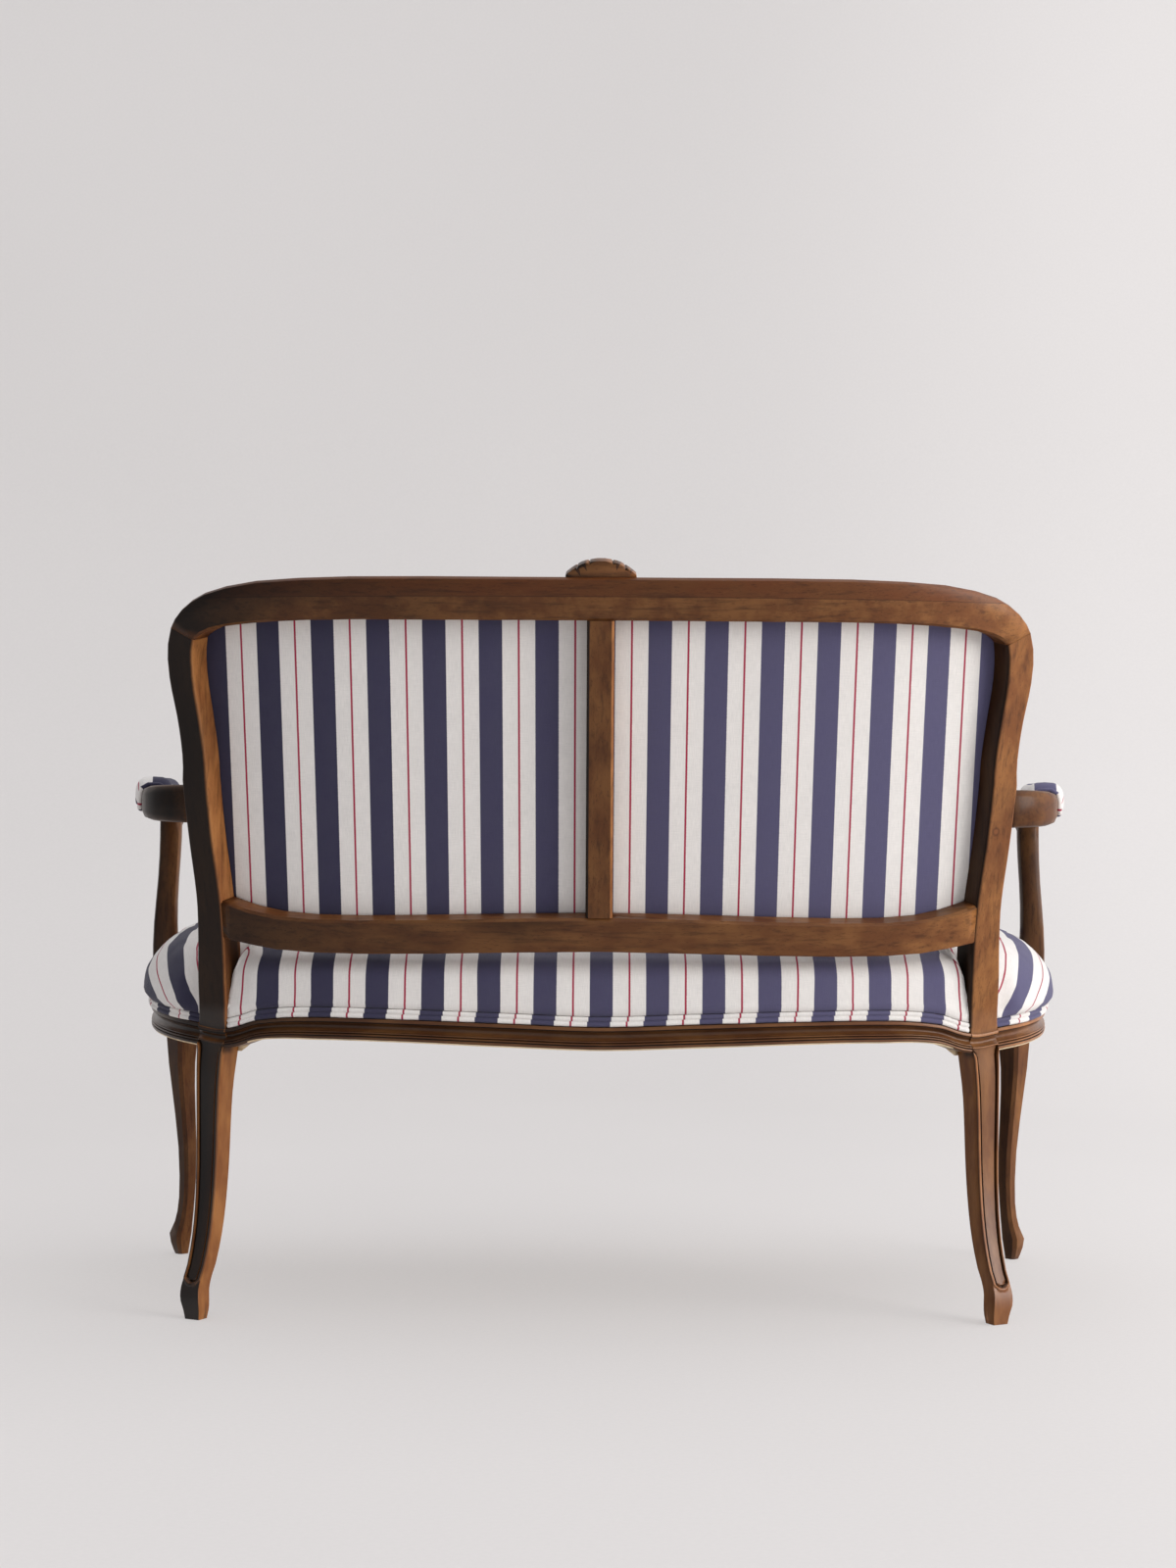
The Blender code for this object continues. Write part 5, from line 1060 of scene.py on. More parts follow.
# Seat cover

SEAT_STEP = 0.0085
BAND_FROM = 0.400
BAND_END = 0.4588
# Ends of a side welt, as shares of the side's length
SIDE_FROM = 0.045
SIDE_TO = 0.715
STILE_CORNERS = ((0.4598, -0.0145), (0.4432, 0.0197), (0.4797, 0.0375), (0.4963, 0.0033))
NOTCH_CLEAR = 0.0015

# How far the cut edge of the band leans away from the stile, by height
notch_lean = curve_through([(0.3920, 0.0), (0.4016, 0.0030), (0.4317, 0.0085),
                            (0.4437, 0.0145), (0.4606, 0.0215), (0.4800, 0.0260)])


def seat_edge():
    """Right half of the seat's edge: point, outward direction, ledge and kind of column."""
    rear = dense([0.0, SEAT_RIDGE_X, BAND_FROM], SEAT_STEP) + dense([0.406, BAND_END], 0.0048)
    side = dense([SIDE_FROM, 0.075], 0.010) + dense([0.085, 0.30, 0.95], 0.016)
    front = reversed(dense([0.0, SEAT_RIDGE_X, 0.555], SEAT_STEP))
    run = [(*rear_place(x), "rear") for x in rear]
    run.extend((*side_place(t), "side") for t in side)
    run.extend((*place, "corner") for place in corner_places())
    run.extend((*front_place(x), "front") for x in front)
    return run


def notch_run():
    """Path of the cover round a stile: point, way into the seat, and share of the lean."""
    corners = [Vector((x, y, 0.0)) for x, y in STILE_CORNERS]
    along = (corners[1] - corners[0]).normalized()
    beside = Vector((-along.y, along.x, 0.0))
    run = []
    for part in (0.08, 0.20, 0.35, 0.50, 0.65, 0.80, 0.94):
        point = corners[0].lerp(corners[1], part) + beside * NOTCH_CLEAR
        run.append((point, beside, (1 - part)**0.8))
    for part in (0.0, 0.2, 0.4, 0.6, 0.8, 1.0):
        point = corners[1].lerp(corners[2], part) + along * (NOTCH_CLEAR + 0.0006)
        run.append((point, along, 0.0))
    return run


def chord_curves(controls):
    """Smooth curves of (inward, height) through control pairs, and their parameters."""
    places = lengths_along(controls)
    back = curve_through([(c, p[0]) for c, p in zip(places, controls)])
    high = curve_through([(c, p[1]) for c, p in zip(places, controls)])
    return places, back, high


# The cloth's map: how far it keeps to the edge line at the back, and its shift in the notches
MAP_FOLLOWS = 0.35
MAP_NOTCH = 0.0065
SIDE_ROWS = 18
TOP_ROWS = (0.08, 0.2, 0.35, 0.55, 0.8, 1.0, 1.2, 1.45, 1.7, 1.85, 2.0, 2.2, 2.45, 2.7, 2.88, 3.0)


def cover_column(point, out, ledge, kind, lean=0.0):
    """Column of the seat cover, from the middle below, round the edge, to the ridge."""
    rear = 1.0 if kind == "rear" else 0.0
    notch = kind == "notch"
    near_stile = ramp(BAND_FROM + 0.020, BAND_END, point.x) * rear
    near_stile += (1 - ramp(0.500, 0.520, point.x)) * (kind == "side")
    base = PAD_UNDER if notch else ledge + 4 * CORD_RADIUS + 0.0015
    top = SEAT_EDGE_TOP + 0.004 if notch else SEAT_EDGE_TOP - 0.012 * rear
    bulge = 0.0 if notch else SEAT_BULGE * (1.0 - 0.55 * rear) * (1 - 0.85 * near_stile)
    rise = top - base
    ridge = Vector((min(SEAT_RIDGE_X, point.x), SEAT_MIDDLE_Y, 0.0))
    reach = (ridge - point).length
    low = 0.0 if kind in ("rear", "notch") else 1.0
    edge_z = base + rise * (1.04 - 0.12 * low)
    edge_in = 0.010 + 0.008 * low
    controls = [(0.0020 - 0.0065 * low, base),
                (-(0.65 + 0.25 * low) * bulge, base + (0.20 - 0.09 * low) * rise),
                (-bulge, base + (0.50 - 0.24 * low) * rise),
                (-(0.70 - 0.10 * low) * bulge, base + (0.78 - 0.26 * low) * rise),
                (edge_in, edge_z)]
    for part in (0.14, 0.48, 1.0):
        lift = math.sin(part * math.pi / 2)**(1.0 - 0.4 * low)
        controls.append((edge_in + (reach - edge_in) * part,
                         edge_z + (SEAT_CROWN - edge_z) * lift))
    places, back, high = chord_curves(controls)
    toward = (ridge - point).normalized()
    band_share = min(max((point.x - BAND_FROM) / (BAND_END - BAND_FROM), 0.0), 1.0) * rear
    tangent = Vector((-1.0, -bow_slope(point.x), 0.0)).normalized()

    def at_place(c):
        b = back(c)
        z = high(c)
        share = min(max(b / 0.03, 0.0), 1.0)
        direction = (-out * (1 - share) + toward * share).normalized()
        p = point + direction * b
        give = notch_lean(z) * (1 - 0.8 * ramp(0.0, 0.07, b))
        p = p + tangent * (give * band_share) - out * (give * lean)
        return Vector((p.x, p.y, z))

    edge_at = places[4]
    edge_point = at_place(edge_at)
    column = []
    for k in range(SIDE_ROWS + 1):
        c = edge_at * k / SIDE_ROWS
        d = edge_at - c
        p = at_place(c)
        if kind == "rear":
            place = (p.x + MAP_FOLLOWS * (point.x - p.x), edge_point.y - d)
        elif notch:
            place = (edge_point.x + MAP_NOTCH, edge_point.y + d)
        else:
            place = (edge_point.x + out.x * d, edge_point.y + out.y * d)
        column.append((p, place))
    for t in TOP_ROWS:
        i = min(int(t), 2)
        c = places[4 + i] + (places[5 + i] - places[4 + i]) * (t - i)
        p = at_place(c)
        shift = MAP_FOLLOWS * (point.x - edge_point.x) * rear + MAP_NOTCH * notch
        column.append((p, (p.x + shift * (1 - ramp(0.0, 1.0, t)), p.y)))
    inset = point - out * (REBATE_SEAT - CLOTH_FIT)
    below = [ridge, inset.lerp(ridge, 0.5), inset, inset]
    if notch:
        below = [ridge, point.lerp(ridge, 0.5), point.lerp(ridge, 0.06), point.lerp(ridge, 0.03)]
    under = [(Vector((p.x, p.y, PAD_UNDER)), (p.x, p.y)) for p in below]
    if not notch:
        under[-1] = (Vector((inset.x, inset.y, base)), (inset.x, inset.y))
    return under + column


def make_seat_cushion(material):
    """Stuffed seat: a crowned form pulled down all round and cut round the stiles."""
    columns = []
    for point, out, ledge, kind in seat_edge():
        point = Vector((point.x, point.y, 0.0))
        columns.append(cover_column(point, out, ledge, kind))
        if kind == "rear" and abs(point.x - BAND_END) < 1e-6:
            for place, way, lean in notch_run():
                columns.append(cover_column(place, -way, ledge, "notch", lean))
    whole = columns + [[(sided(-1, p), (-m[0], m[1])) for p, m in column]
                       for column in reversed(columns[1:-1])]
    rows = []
    maps = []
    held = []
    for column in whole:
        row = []
        held.append([1.0 if j < 7 else 0.0 for j in range(len(column))])
        for j, (p, m) in enumerate(column):
            side = ramp(3, 6, j) * (1 - ramp(3 + SIDE_ROWS, 6 + SIDE_ROWS, j))
            swell = 0.0012 * noise.noise(Vector((p.x * 11, p.y * 11, p.z * 16)))
            pucker = 0.0007 * noise.noise(Vector((m[0] * 70, m[1] * 8, 3.0))) * side
            soft = noise.noise(Vector((p.x * 5, p.y * 5, 4.0))) * 0.0025 * (1 - side)
            if 3 < j:
                lift = swell + soft if j > 6 + SIDE_ROWS else 0.0
                away = Vector((p.x, p.y - SEAT_MIDDLE_Y, 0)).normalized()
                p = p + Vector((0, 0, lift)) + away * ((swell + pucker) * side)
            row.append(p)
        rows.append(row)
        maps.append([m for p, m in column])
    maps.append(maps[0])
    piece = settle(skin("seat_cushion", rows, maps, wrap_rows=True, held=held), material)
    stuff(piece, 0.0040)
    return stand_for(piece, "striped_cloth", "seat_pad")


# Welts

def pair_section(radius, count=15):
    """Section of two cords side by side, as (out, up) points."""
    points = []
    for centre, start, end in ((radius, -66, 246), (-radius, 114, 426)):
        for i in range(count):
            angle = math.radians(start + (end - start) * i / (count - 1))
            points.append((radius * math.cos(angle), centre + radius * math.sin(angle)))
    return points


def round_section(radius, count=12):
    return [(radius * math.cos(2 * math.pi * i / count),
             radius * math.sin(2 * math.pi * i / count)) for i in range(count)]


def sweep(name, path, section, material, closed=False, jog=0.0):
    """Section along a path of (point, out, up, place), with UV along and round it.

    The jog shifts the stripes of the section's second half, as on a second cord.
    """
    around = lengths_along(section + section[:1])
    rows = []
    maps = []
    for point, out, up, place in path:
        rough = 1.0 + 0.05 * noise.noise(Vector((place * 90, 1.7, 0.3)))
        rows.append([point + out * (u * rough) + up * (w * rough) for u, w in section])
        maps.append([(place + (jog if 2 * i >= len(section) else 0.0), distance)
                     for i, distance in enumerate(around)])
    if closed:
        last = path[-1][3] + (path[-1][0] - path[0][0]).length
        maps.append([(last, distance) for distance in around])
    return settle(skin(name, rows, maps, wrap_rows=closed, wrap_points=True), material,
                  caps=not closed)


def seat_welt_path(run):
    up = Vector((0, 0, 1))
    path = []
    for point, out, ledge, place in run:
        centre = point - out * (CORD_RADIUS + CLOTH_FIT)
        centre.z = ledge + 2 * CORD_RADIUS + 0.0010
        path.append((centre, out, up, place))
    return path


WELT_DROP = 0.074
WELT_STAND = 0.0034


def rear_welt_run():
    return [(*rear_place(x), x + 0.0016) for x in dense([-BAND_END, BAND_END], 0.005)]


def side_welt_run(side, start, end):
    run = []
    for t in dense([start, end], 0.012):
        point, out, line = side_place(t)
        mark = side * (point.x + out.x * WELT_DROP)
        point = point + out * (WELT_STAND * ramp(0.05, 0.16, t))
        run.append((sided(side, point), sided(side, out), line, mark))
    return run


def front_welt_run():
    half = [side_place(t) for t in dense([0.73, 0.95], 0.012)]
    half.extend(corner_places())
    half.extend(front_place(x) for x in reversed(dense([0.0, 0.555], 0.008)))
    whole = half + [(sided(-1, p), sided(-1, out), line) for p, out, line in reversed(half[:-1])]
    whole = [(p + out * WELT_STAND, out, line) for p, out, line in whole]
    marks = lengths_along([p for p, out, line in whole])
    return [(*place, -mark) for place, mark in zip(whole, marks)]


def make_welts(cloth):
    section = pair_section(CORD_RADIUS)
    runs = (("seat_cord_rear", rear_welt_run(), "seat_welt_rear"),
            ("seat_cord_right", side_welt_run(1, SIDE_FROM, SIDE_TO), "seat_welt_right"),
            ("seat_cord_left", side_welt_run(-1, SIDE_FROM, SIDE_TO), "seat_welt_left"),
            ("seat_cord_front", front_welt_run(), "seat_welt_front"))
    for name, run, node in runs:
        piece = sweep(name, seat_welt_path(run), section, cloth, jog=0.0015)
        stand_for(piece, "welt_cloth", node)
    path = []
    loop = opening_loop(REBATE_WIDE + 2 * CORD_RADIUS + CLOTH_FIT)
    depth = FRAME_THICK + 0.0003 + CORD_RADIUS
    for i, ((x, z), mark) in enumerate(zip(loop, lengths_along(loop))):
        before = loop[i - 1]
        after = loop[(i + 1) % len(loop)]
        tangent = Vector((after[0] - before[0], 0, after[1] - before[1])).normalized()
        across = Vector((-tangent.z, 0, tangent.x))
        point = back_surface(x, z, depth)
        side = back_surface(x + across.x * 0.001, z + across.z * 0.001, depth) - point
        path.append((point, inward(x, z), side.normalized(), mark))
    piece = sweep("back_cord", path, section, cloth, closed=True)
    stand_for(piece, "welt_cloth", "back_welt")


# Back

CREST_INNER = [(0.000, CREST_LOW), (0.290, CREST_LOW + 0.0005), (0.350, CREST_LOW),
               (0.395, CREST_LOW - 0.0015), (0.428, CREST_LOW - 0.0037),
               (0.452, CREST_LOW - 0.0062), (0.468, CREST_LOW - 0.0095),
               (0.4795, CREST_LOW - 0.0138), (0.4868, CREST_LOW - 0.0180),
               (0.4905, 0.8300), (0.4926, 0.8170), (0.4929, 0.8045)]


def opening_half():
    """Right half of the back's opening from the top middle down and in to the bottom."""
    loop = []
    top = curve_through(CREST_INNER[:9])
    for x in dense([0.0, 0.40, 0.4868], 0.006):
        loop.append((x, top(x)))
    loop.extend(CREST_INNER[9:])
    for z in reversed(dense([0.530, 0.797], 0.009)):
        loop.append((stile_inner(z), z))
    loop.append((0.4628, back_rail_top(0.4628) + 0.0060))
    loop.append((0.4580, back_rail_top(0.458) + 0.0006))
    for x in reversed(dense([0.0, 0.452], 0.006)):
        loop.append((x, back_rail_top(x)))
    return loop


def opening_loop(grow):
    """Outline of the back's opening as x and z, grown outward."""
    half = opening_half()
    loop = half + [(-x, z) for x, z in reversed(half[1:-1])]
    grown = []
    count = len(loop)
    for i, (x, z) in enumerate(loop):
        before = loop[i - 1]
        after = loop[(i + 1) % count]
        dx = after[0] - before[0]
        dz = after[1] - before[1]
        length = math.hypot(dx, dz)
        grown.append((x - dz / length * grow, z + dx / length * grow))
    return grown


# How far the cover and the pad reach past the opening
TURN_IN = 0.0060


def opening_columns(grow, step):
    """Columns of the opening: x with its lowest and highest z."""
    loop = opening_loop(grow)
    widest = max(point[0] for point in loop) - 0.0004
    columns = []
    for x in dense([0.0, 0.43, widest], step):
        found = []
        for (xa, za), (xb, zb) in zip(loop, loop[1:] + loop[:1]):
            if (xa - x) * (xb - x) <= 0 and xa != xb:
                found.append(za + (zb - za) * (x - xa) / (xb - xa))
        columns.append((x, min(found), max(found)))
    return [(-x, a, b) for x, a, b in reversed(columns[1:])] + columns


def make_outside_back(material):
    """Outside back cover, stretched in its rebate, with a little give over the webbing."""
    rows = []
    maps = []
    rise = 40
    for x, low, high in opening_columns(TURN_IN, 0.006):
        row = []
        marks = []
        for k in range(rise + 1):
            z = low + (high - low) * k / rise
            edge = min(k, rise - k) / rise * 2
            give = 0.0005 * noise.noise(Vector((x * 9, z * 7, 5.0))) * ramp(0.0, 0.3, edge)
            p = back_surface(x, z, PANEL_DEPTH + 0.0004 + give)
            row.append(p)
            marks.append((p.x * (1.0 + STRIPE_CLOSING * (0.84 - z)), z))
        rows.append(row)
        maps.append(marks)
    piece = settle(skin("outside_back", rows, maps), material)
    thicken(piece, PANEL_THICK - 0.0004)
    return stand_for(piece, "striped_cloth", "outside_back_cover")


def make_inside_back(material):
    """Inside back pad: flat behind, crowned in front and drawn in at its edge."""
    columns = opening_columns(TURN_IN, 0.012)
    widest = columns[-1][0]
    rows = []
    maps = []
    rise = 30
    for x, low, high in columns:
        row = []
        marks = []
        along = 1 - abs(x / widest)**7
        for k in range(rise + 1):
            z = low + (high - low) * k / rise
            up = 1 - abs(2 * k / rise - 1)**5
            crown = (max(along, 0.0) * max(up, 0.0))**0.5
            dimple = 0.0015 * noise.noise(Vector((x * 7, z * 7, 2.0))) * crown
            depth = BACK_PAD_EDGE + (BACK_PAD_CROWN - BACK_PAD_EDGE) * crown + dimple
            p = back_surface(x, z, depth)
            row.append(p)
            marks.append((p.x * (1.0 + STRIPE_CLOSING * (0.84 - z)), z))
        for k in range(rise, -1, -1):
            z = low + (high - low) * k / rise
            row.append(back_surface(x, z, BACK_PAD_REAR + 0.0002))
            marks.append((x, z))
        rows.append(row)
        maps.append(marks + [marks[0]])
    held = [[0.0 if 1 < k < rise - 1 and 1 < i < len(rows) - 2 else 1.0
             for k in range(2 * rise + 2)] for i in range(len(rows))]
    piece = settle(skin("inside_back", rows, maps, wrap_points=True, held=held), material,
                   caps=True)
    stuff(piece, 0.0050)
    return stand_for(piece, "striped_cloth", "back_pad")


# Arm pads

def make_arm_cushion(side, name, node, start_u, material):
    """Stuffed pad astride the arm, rounded at its ends."""
    start = arm_param(ARM_PAD_START)
    end = arm_param(ARM_PAD_END)
    reach = (arm_centre(end) - arm_centre(start)).length
    rows = []
    maps = []
    steps = 44
    for i in range(steps + 1):
        s = 0.5 - 0.5 * math.cos(math.pi * i / steps)
        t = start + (end - start) * s
        from_end = min(s, 1 - s) * reach
        round_off = math.sqrt(max(0.0, 1 - (1 - min(from_end / 0.024, 1.0))**2))
        half_arm = arm_wide(t) / 2 + 0.0009
        half = half_arm + 0.0022 + (ARM_PAD_WIDE / 2 - half_arm - 0.0022) * round_off
        low_top = ARM_TOP + arm_rise(t) - 0.0110 + 0.0009
        lifted = ARM_PAD_LIFT * (1 - round_off)
        full_top = ARM_PAD_TOP + arm_rise(t) * 0.6
        top = low_top + 0.0060 + (full_top - low_top - 0.0060) * round_off
        hang = ARM_TOP + arm_rise(t) - ARM_PAD_HANG
        centre = arm_centre(t)
        out = arm_side(t)
        outline = [(half - 0.0040, hang), (half - 0.0008, hang + 0.0030), (half, hang + 0.0080)]
        for k in range(13):
            angle = math.pi * k / 12
            across = math.copysign(abs(math.cos(angle))**0.62, math.cos(angle))
            outline.append((half * across,
                            hang + 0.0130 + (top - hang - 0.0130) * math.sin(angle)**0.72))
        outline.extend([(-half, hang + 0.0080), (-half + 0.0008, hang + 0.0030),
                        (-half + 0.0040, hang), (-half_arm, hang + 0.0006),
                        (-half_arm, low_top - 0.002), (-half_arm + 0.004, low_top + lifted),
                        (half_arm - 0.004, low_top + lifted), (half_arm, low_top - 0.002),
                        (half_arm, hang + 0.0006)])
        row = [sided(side, Vector((centre.x, centre.y, z)) + out * u) for u, z in outline]
        marks = []
        distance = lengths_along(outline + outline[:1])
        middle = distance[9]
        at_end = 1 - ramp(0.0, 0.0030, from_end)
        for k, d in enumerate(distance):
            along_u = side * (middle - d) + start_u
            end_u = END_RED_LINE + side * (middle - d) - side * 0.0080
            on_top = 3 < k < 15 and at_end > 0.4
            marks.append((end_u if on_top else along_u, centre.y))
        rows.append(row)
        maps.append(marks)
    held = [[0.0 if 3 < k < 15 and 1 < i < len(rows) - 2 else 1.0
             for k in range(len(row))] for i, row in enumerate(rows)]
    piece = settle(skin(name, rows, maps, wrap_points=True, held=held), material, caps=True,
                   sharp=60)
    stuff(piece, 0.0015)
    return stand_for(piece, "striped_cloth", node)


def make_arm_cord(side, name, node, material):
    """Single welt round the lower edge of an arm pad."""
    start = arm_param(ARM_PAD_START)
    end = arm_param(ARM_PAD_END)
    r = CORD_RADIUS
    reach = (arm_centre(end) - arm_centre(start)).length / (end - start)
    past = (r + 2 * CLOTH_FIT) / reach
    low = start - past
    high = end + past
    knots = [(low + (high - low) * i / 16, 1.0, 0) for i in range(17)]
    knots.extend([(high, 1.0, 1), (high, 0.88, 2), (high, 0.4, 3), (high, -0.4, 3),
                  (high, -0.88, 2), (high, -1.0, 1)])
    knots.extend([(high + (low - high) * i / 16, -1.0, 0) for i in range(17)])
    knots.extend([(low, -1.0, 1), (low, -0.88, 2), (low, -0.4, 3), (low, 0.4, 3),
                  (low, 0.88, 2), (low, 1.0, 1)])
    centres = []
    for t, hand, level in knots:
        point = arm_centre(t)
        top = ARM_TOP + arm_rise(t)
        heights = (top - ARM_PAD_HANG - 0.0003 - r, top - 0.5 * ARM_PAD_HANG,
                   top - 0.5 * r, top + r + 0.0003)
        offset = hand * (arm_wide(t) / 2 + CLOTH_FIT + r)
        centre = Vector((point.x, point.y, heights[level])) + arm_side(t) * offset
        centres.append(sided(side, centre))
    path = []
    count = len(centres)
    normal = Vector((0, 0, 1))
    frames = []
    for i, centre in enumerate(centres):
        tangent = (centres[(i + 1) % count] - centres[i - 1]).normalized()
        normal = (normal - tangent * normal.dot(tangent)).normalized()
        frames.append((centre, normal.copy(), tangent.cross(normal), tangent))
    opening = frames[0]
    carried = (frames[-1][1] - opening[3] * frames[-1][1].dot(opening[3])).normalized()
    twist = math.atan2(opening[3].dot(carried.cross(opening[1])), carried.dot(opening[1]))
    marks = lengths_along(centres)
    for i, (centre, normal, across, tangent) in enumerate(frames):
        turn = twist * i / count
        first = normal * math.cos(turn) + across * math.sin(turn)
        second = across * math.cos(turn) - normal * math.sin(turn)
        path.append((centre, first, second, marks[i]))
    piece = sweep(name, path, round_section(r), material, closed=True)
    return stand_for(piece, "welt_cloth", node)


# Webbing and hessian

def make_strip(node, name, material, slot, along):
    """Woven strip over a node's box, with selvedges and a slack weave."""
    low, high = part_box(node)
    bm = bmesh.new()
    layer = bm.loops.layers.uv.new("UVMap")
    across = 0 if along == 1 else 1
    length = high[along] - low[along]
    width = high[across] - low[across]
    thick = high.z - low.z
    cells = max(2, round(length / 0.02))
    ribs = 8
    grid = []
    for i in range(cells + 1):
        row = []
        for j in range(ribs + 1):
            p = Vector((0, 0, high.z - thick * 0.35))
            p[along] = low[along] + length * i / cells
            p[across] = low[across] + width * j / ribs
            p.z += 0.0002 * noise.noise(Vector((p.x * 30, p.y * 30, 1.0)))
            row.append(bm.verts.new(p))
        grid.append(row)
    for i in range(cells):
        for j in range(ribs):
            face = bm.faces.new((grid[i][j], grid[i][j + 1], grid[i + 1][j + 1], grid[i + 1][j]))
            for loop in face.loops:
                loop[layer].uv = (loop.vert.co[across] - low[across] - width / 2,
                                  loop.vert.co[along])
    piece = settle((name, bm), material)
    if piece.data.polygons[0].normal.z < 0:
        piece.data.flip_normals()
    thicken(piece, thick * 0.6)
    return stand_for(piece, slot, node)


BACK_WEBS = (-0.33, -0.13, 0.13, 0.33)


def make_back_strip(index, material):
    x_middle = BACK_WEBS[index]
    low = back_rail_top(x_middle) - 0.0060
    high = CREST_LOW + 0.0060
    depth = PANEL_DEPTH + PANEL_THICK + 0.0009
    rows = []
    maps = []
    for i in range(25):
        z = low + (high - low) * i / 24
        row = []
        marks = []
        for j in range(9):
            x = x_middle - 0.030 + 0.060 * j / 8
            row.append(back_surface(x, z, depth))
            marks.append((x - x_middle, z))
        rows.append(row)
        maps.append(marks)
    piece = settle(skin("back_strip_%d" % (index + 1), rows, maps), material)
    thicken(piece, 0.0012, 1.0 if piece.data.polygons[0].normal.y > 0 else -1.0)
    return stand_for(piece, "jute_webbing", "back_webbing_%d" % (index + 1))


def make_hessian_sheet(material):
    """Hessian over the webbing, tacked on the tops of the rails."""
    piece = merged_copy("seat_hessian", "hessian_sheet", material)
    while piece.data.uv_layers:
        piece.data.uv_layers.remove(piece.data.uv_layers[0])
    layer = piece.data.uv_layers.new(name="UVMap")
    for loop in piece.data.loops:
        co = piece.data.vertices[loop.vertex_index].co
        layer.data[loop.index].uv = (co.x, co.y)
    return stand_for(piece, "hessian", "seat_hessian")


# Settings that a user would change

def colour_setting(name, text, value):
    return bpy.props.FloatVectorProperty(name=name, description=text, default=value,
                                         subtype="COLOR", min=0.0, max=1.0)


def number_setting(name, text, value, low, high, **kind):
    return bpy.props.FloatProperty(name=name, description=text, default=value,
                                   min=low, max=high, **kind)


def length_setting(name, text, value, low, high):
    return number_setting(name, text, value, low, high, subtype="DISTANCE", unit="LENGTH")


class SetteeFinish(bpy.types.PropertyGroup):
    stain: colour_setting("Stain", "Usual colour of the polished beech", (0.122, 0.043, 0.0135))
    stain_light: colour_setting("Light figure", "Lighter streaks and flecks in the beech",
                                (0.190, 0.078, 0.0245))
    stain_red: colour_setting("Red stain", "Redder stain on the crest rail's upper layer",
                              (0.120, 0.037, 0.0115))
    stain_dark: colour_setting("Dark grain", "Colour of pores and dark streaks",
                               (0.034, 0.013, 0.006))
    raw_wood: colour_setting("Raw beech", "Sawn beech of the blocks and stretcher",
                             (0.85, 0.66, 0.42))
    knot: colour_setting("Knot", "Eye of the knot on the right stile", (0.15, 0.052, 0.018))
    # Painted light and shade: the navy as drawn lit on the right, the deep navy as drawn in shade
    # on the left
    navy: colour_setting("Navy", "Wide stripe of the cloth", (0.094, 0.085, 0.168))
    navy_shaded: colour_setting("Deep navy", "Wide stripe where it has faded least",
                              (0.022, 0.019, 0.050))
    ivory: colour_setting("Ivory", "Ground of the cloth", (0.80, 0.762, 0.725))
    crimson: colour_setting("Crimson", "Pin stripe of the cloth", (0.36, 0.018, 0.055))
    jute: colour_setting("Jute", "Webbing and hessian", (0.36, 0.24, 0.13))
    wood_roughness: number_setting("Wood roughness", "Roughness of the polish", 0.34, 0.1, 0.8)
    coat: number_setting("Worn polish", "Clear polish on the back's frame, arms and front legs",
                         0.12, 0.0, 1.0)
    gloss: number_setting("Polish", "Clear polish on the seat rails and rear legs",
                          0.45, 0.0, 1.0)


class SetteeSizes(bpy.types.PropertyGroup):
    stripe_pitch: length_setting("Stripe pitch", "From one navy stripe to the next",
                                 0.0680, 0.01, 0.3)
    stripe_start: length_setting("Stripe start", "Middle of the navy stripe nearest the centre",
                                 0.0035, -0.1, 0.1)
    navy_width: length_setting("Navy width", "Width of a navy stripe", 0.0280, 0.001, 0.1)
    pin_width: length_setting("Pin stripe width", "Width of a crimson stripe",
                              0.0024, 0.0005, 0.02)


class SetteeStudio(bpy.types.PropertyGroup):
    distance: length_setting("Camera distance", "From the middle of the settee to the camera",
                             3.66838, 1.0, 20.0)
    height: length_setting("Camera height", "Height of the camera over the floor",
                           0.6606, 0.1, 3.0)
    lens: number_setting("Lens", "Focal length in millimetres, for an upright frame",
                         64.89, 10.0, 300.0)
    roll: number_setting("Camera roll", "Turn about the line of sight", -0.00645, -0.5, 0.5,
                         subtype="ANGLE", unit="ROTATION")
    backdrop: colour_setting("Backdrop", "Colour of the seamless backdrop", (0.30, 0.287, 0.282))
    glow: number_setting("Backdrop light", "How much light the backdrop itself shows",
                         0.43, 0.0, 1.0)
    key: number_setting("Key light", "Power of the large soft light on the right",
                        132.0, 0.0, 1000.0, unit="POWER")
    fill: number_setting("Fill light", "Power of the weak light from above", 14.0, 0.0, 1000.0,
                         unit="POWER")
    ambient: number_setting("Ambient", "Strength of the even light from all sides",
                            0.96, 0.0, 5.0)


# Operators

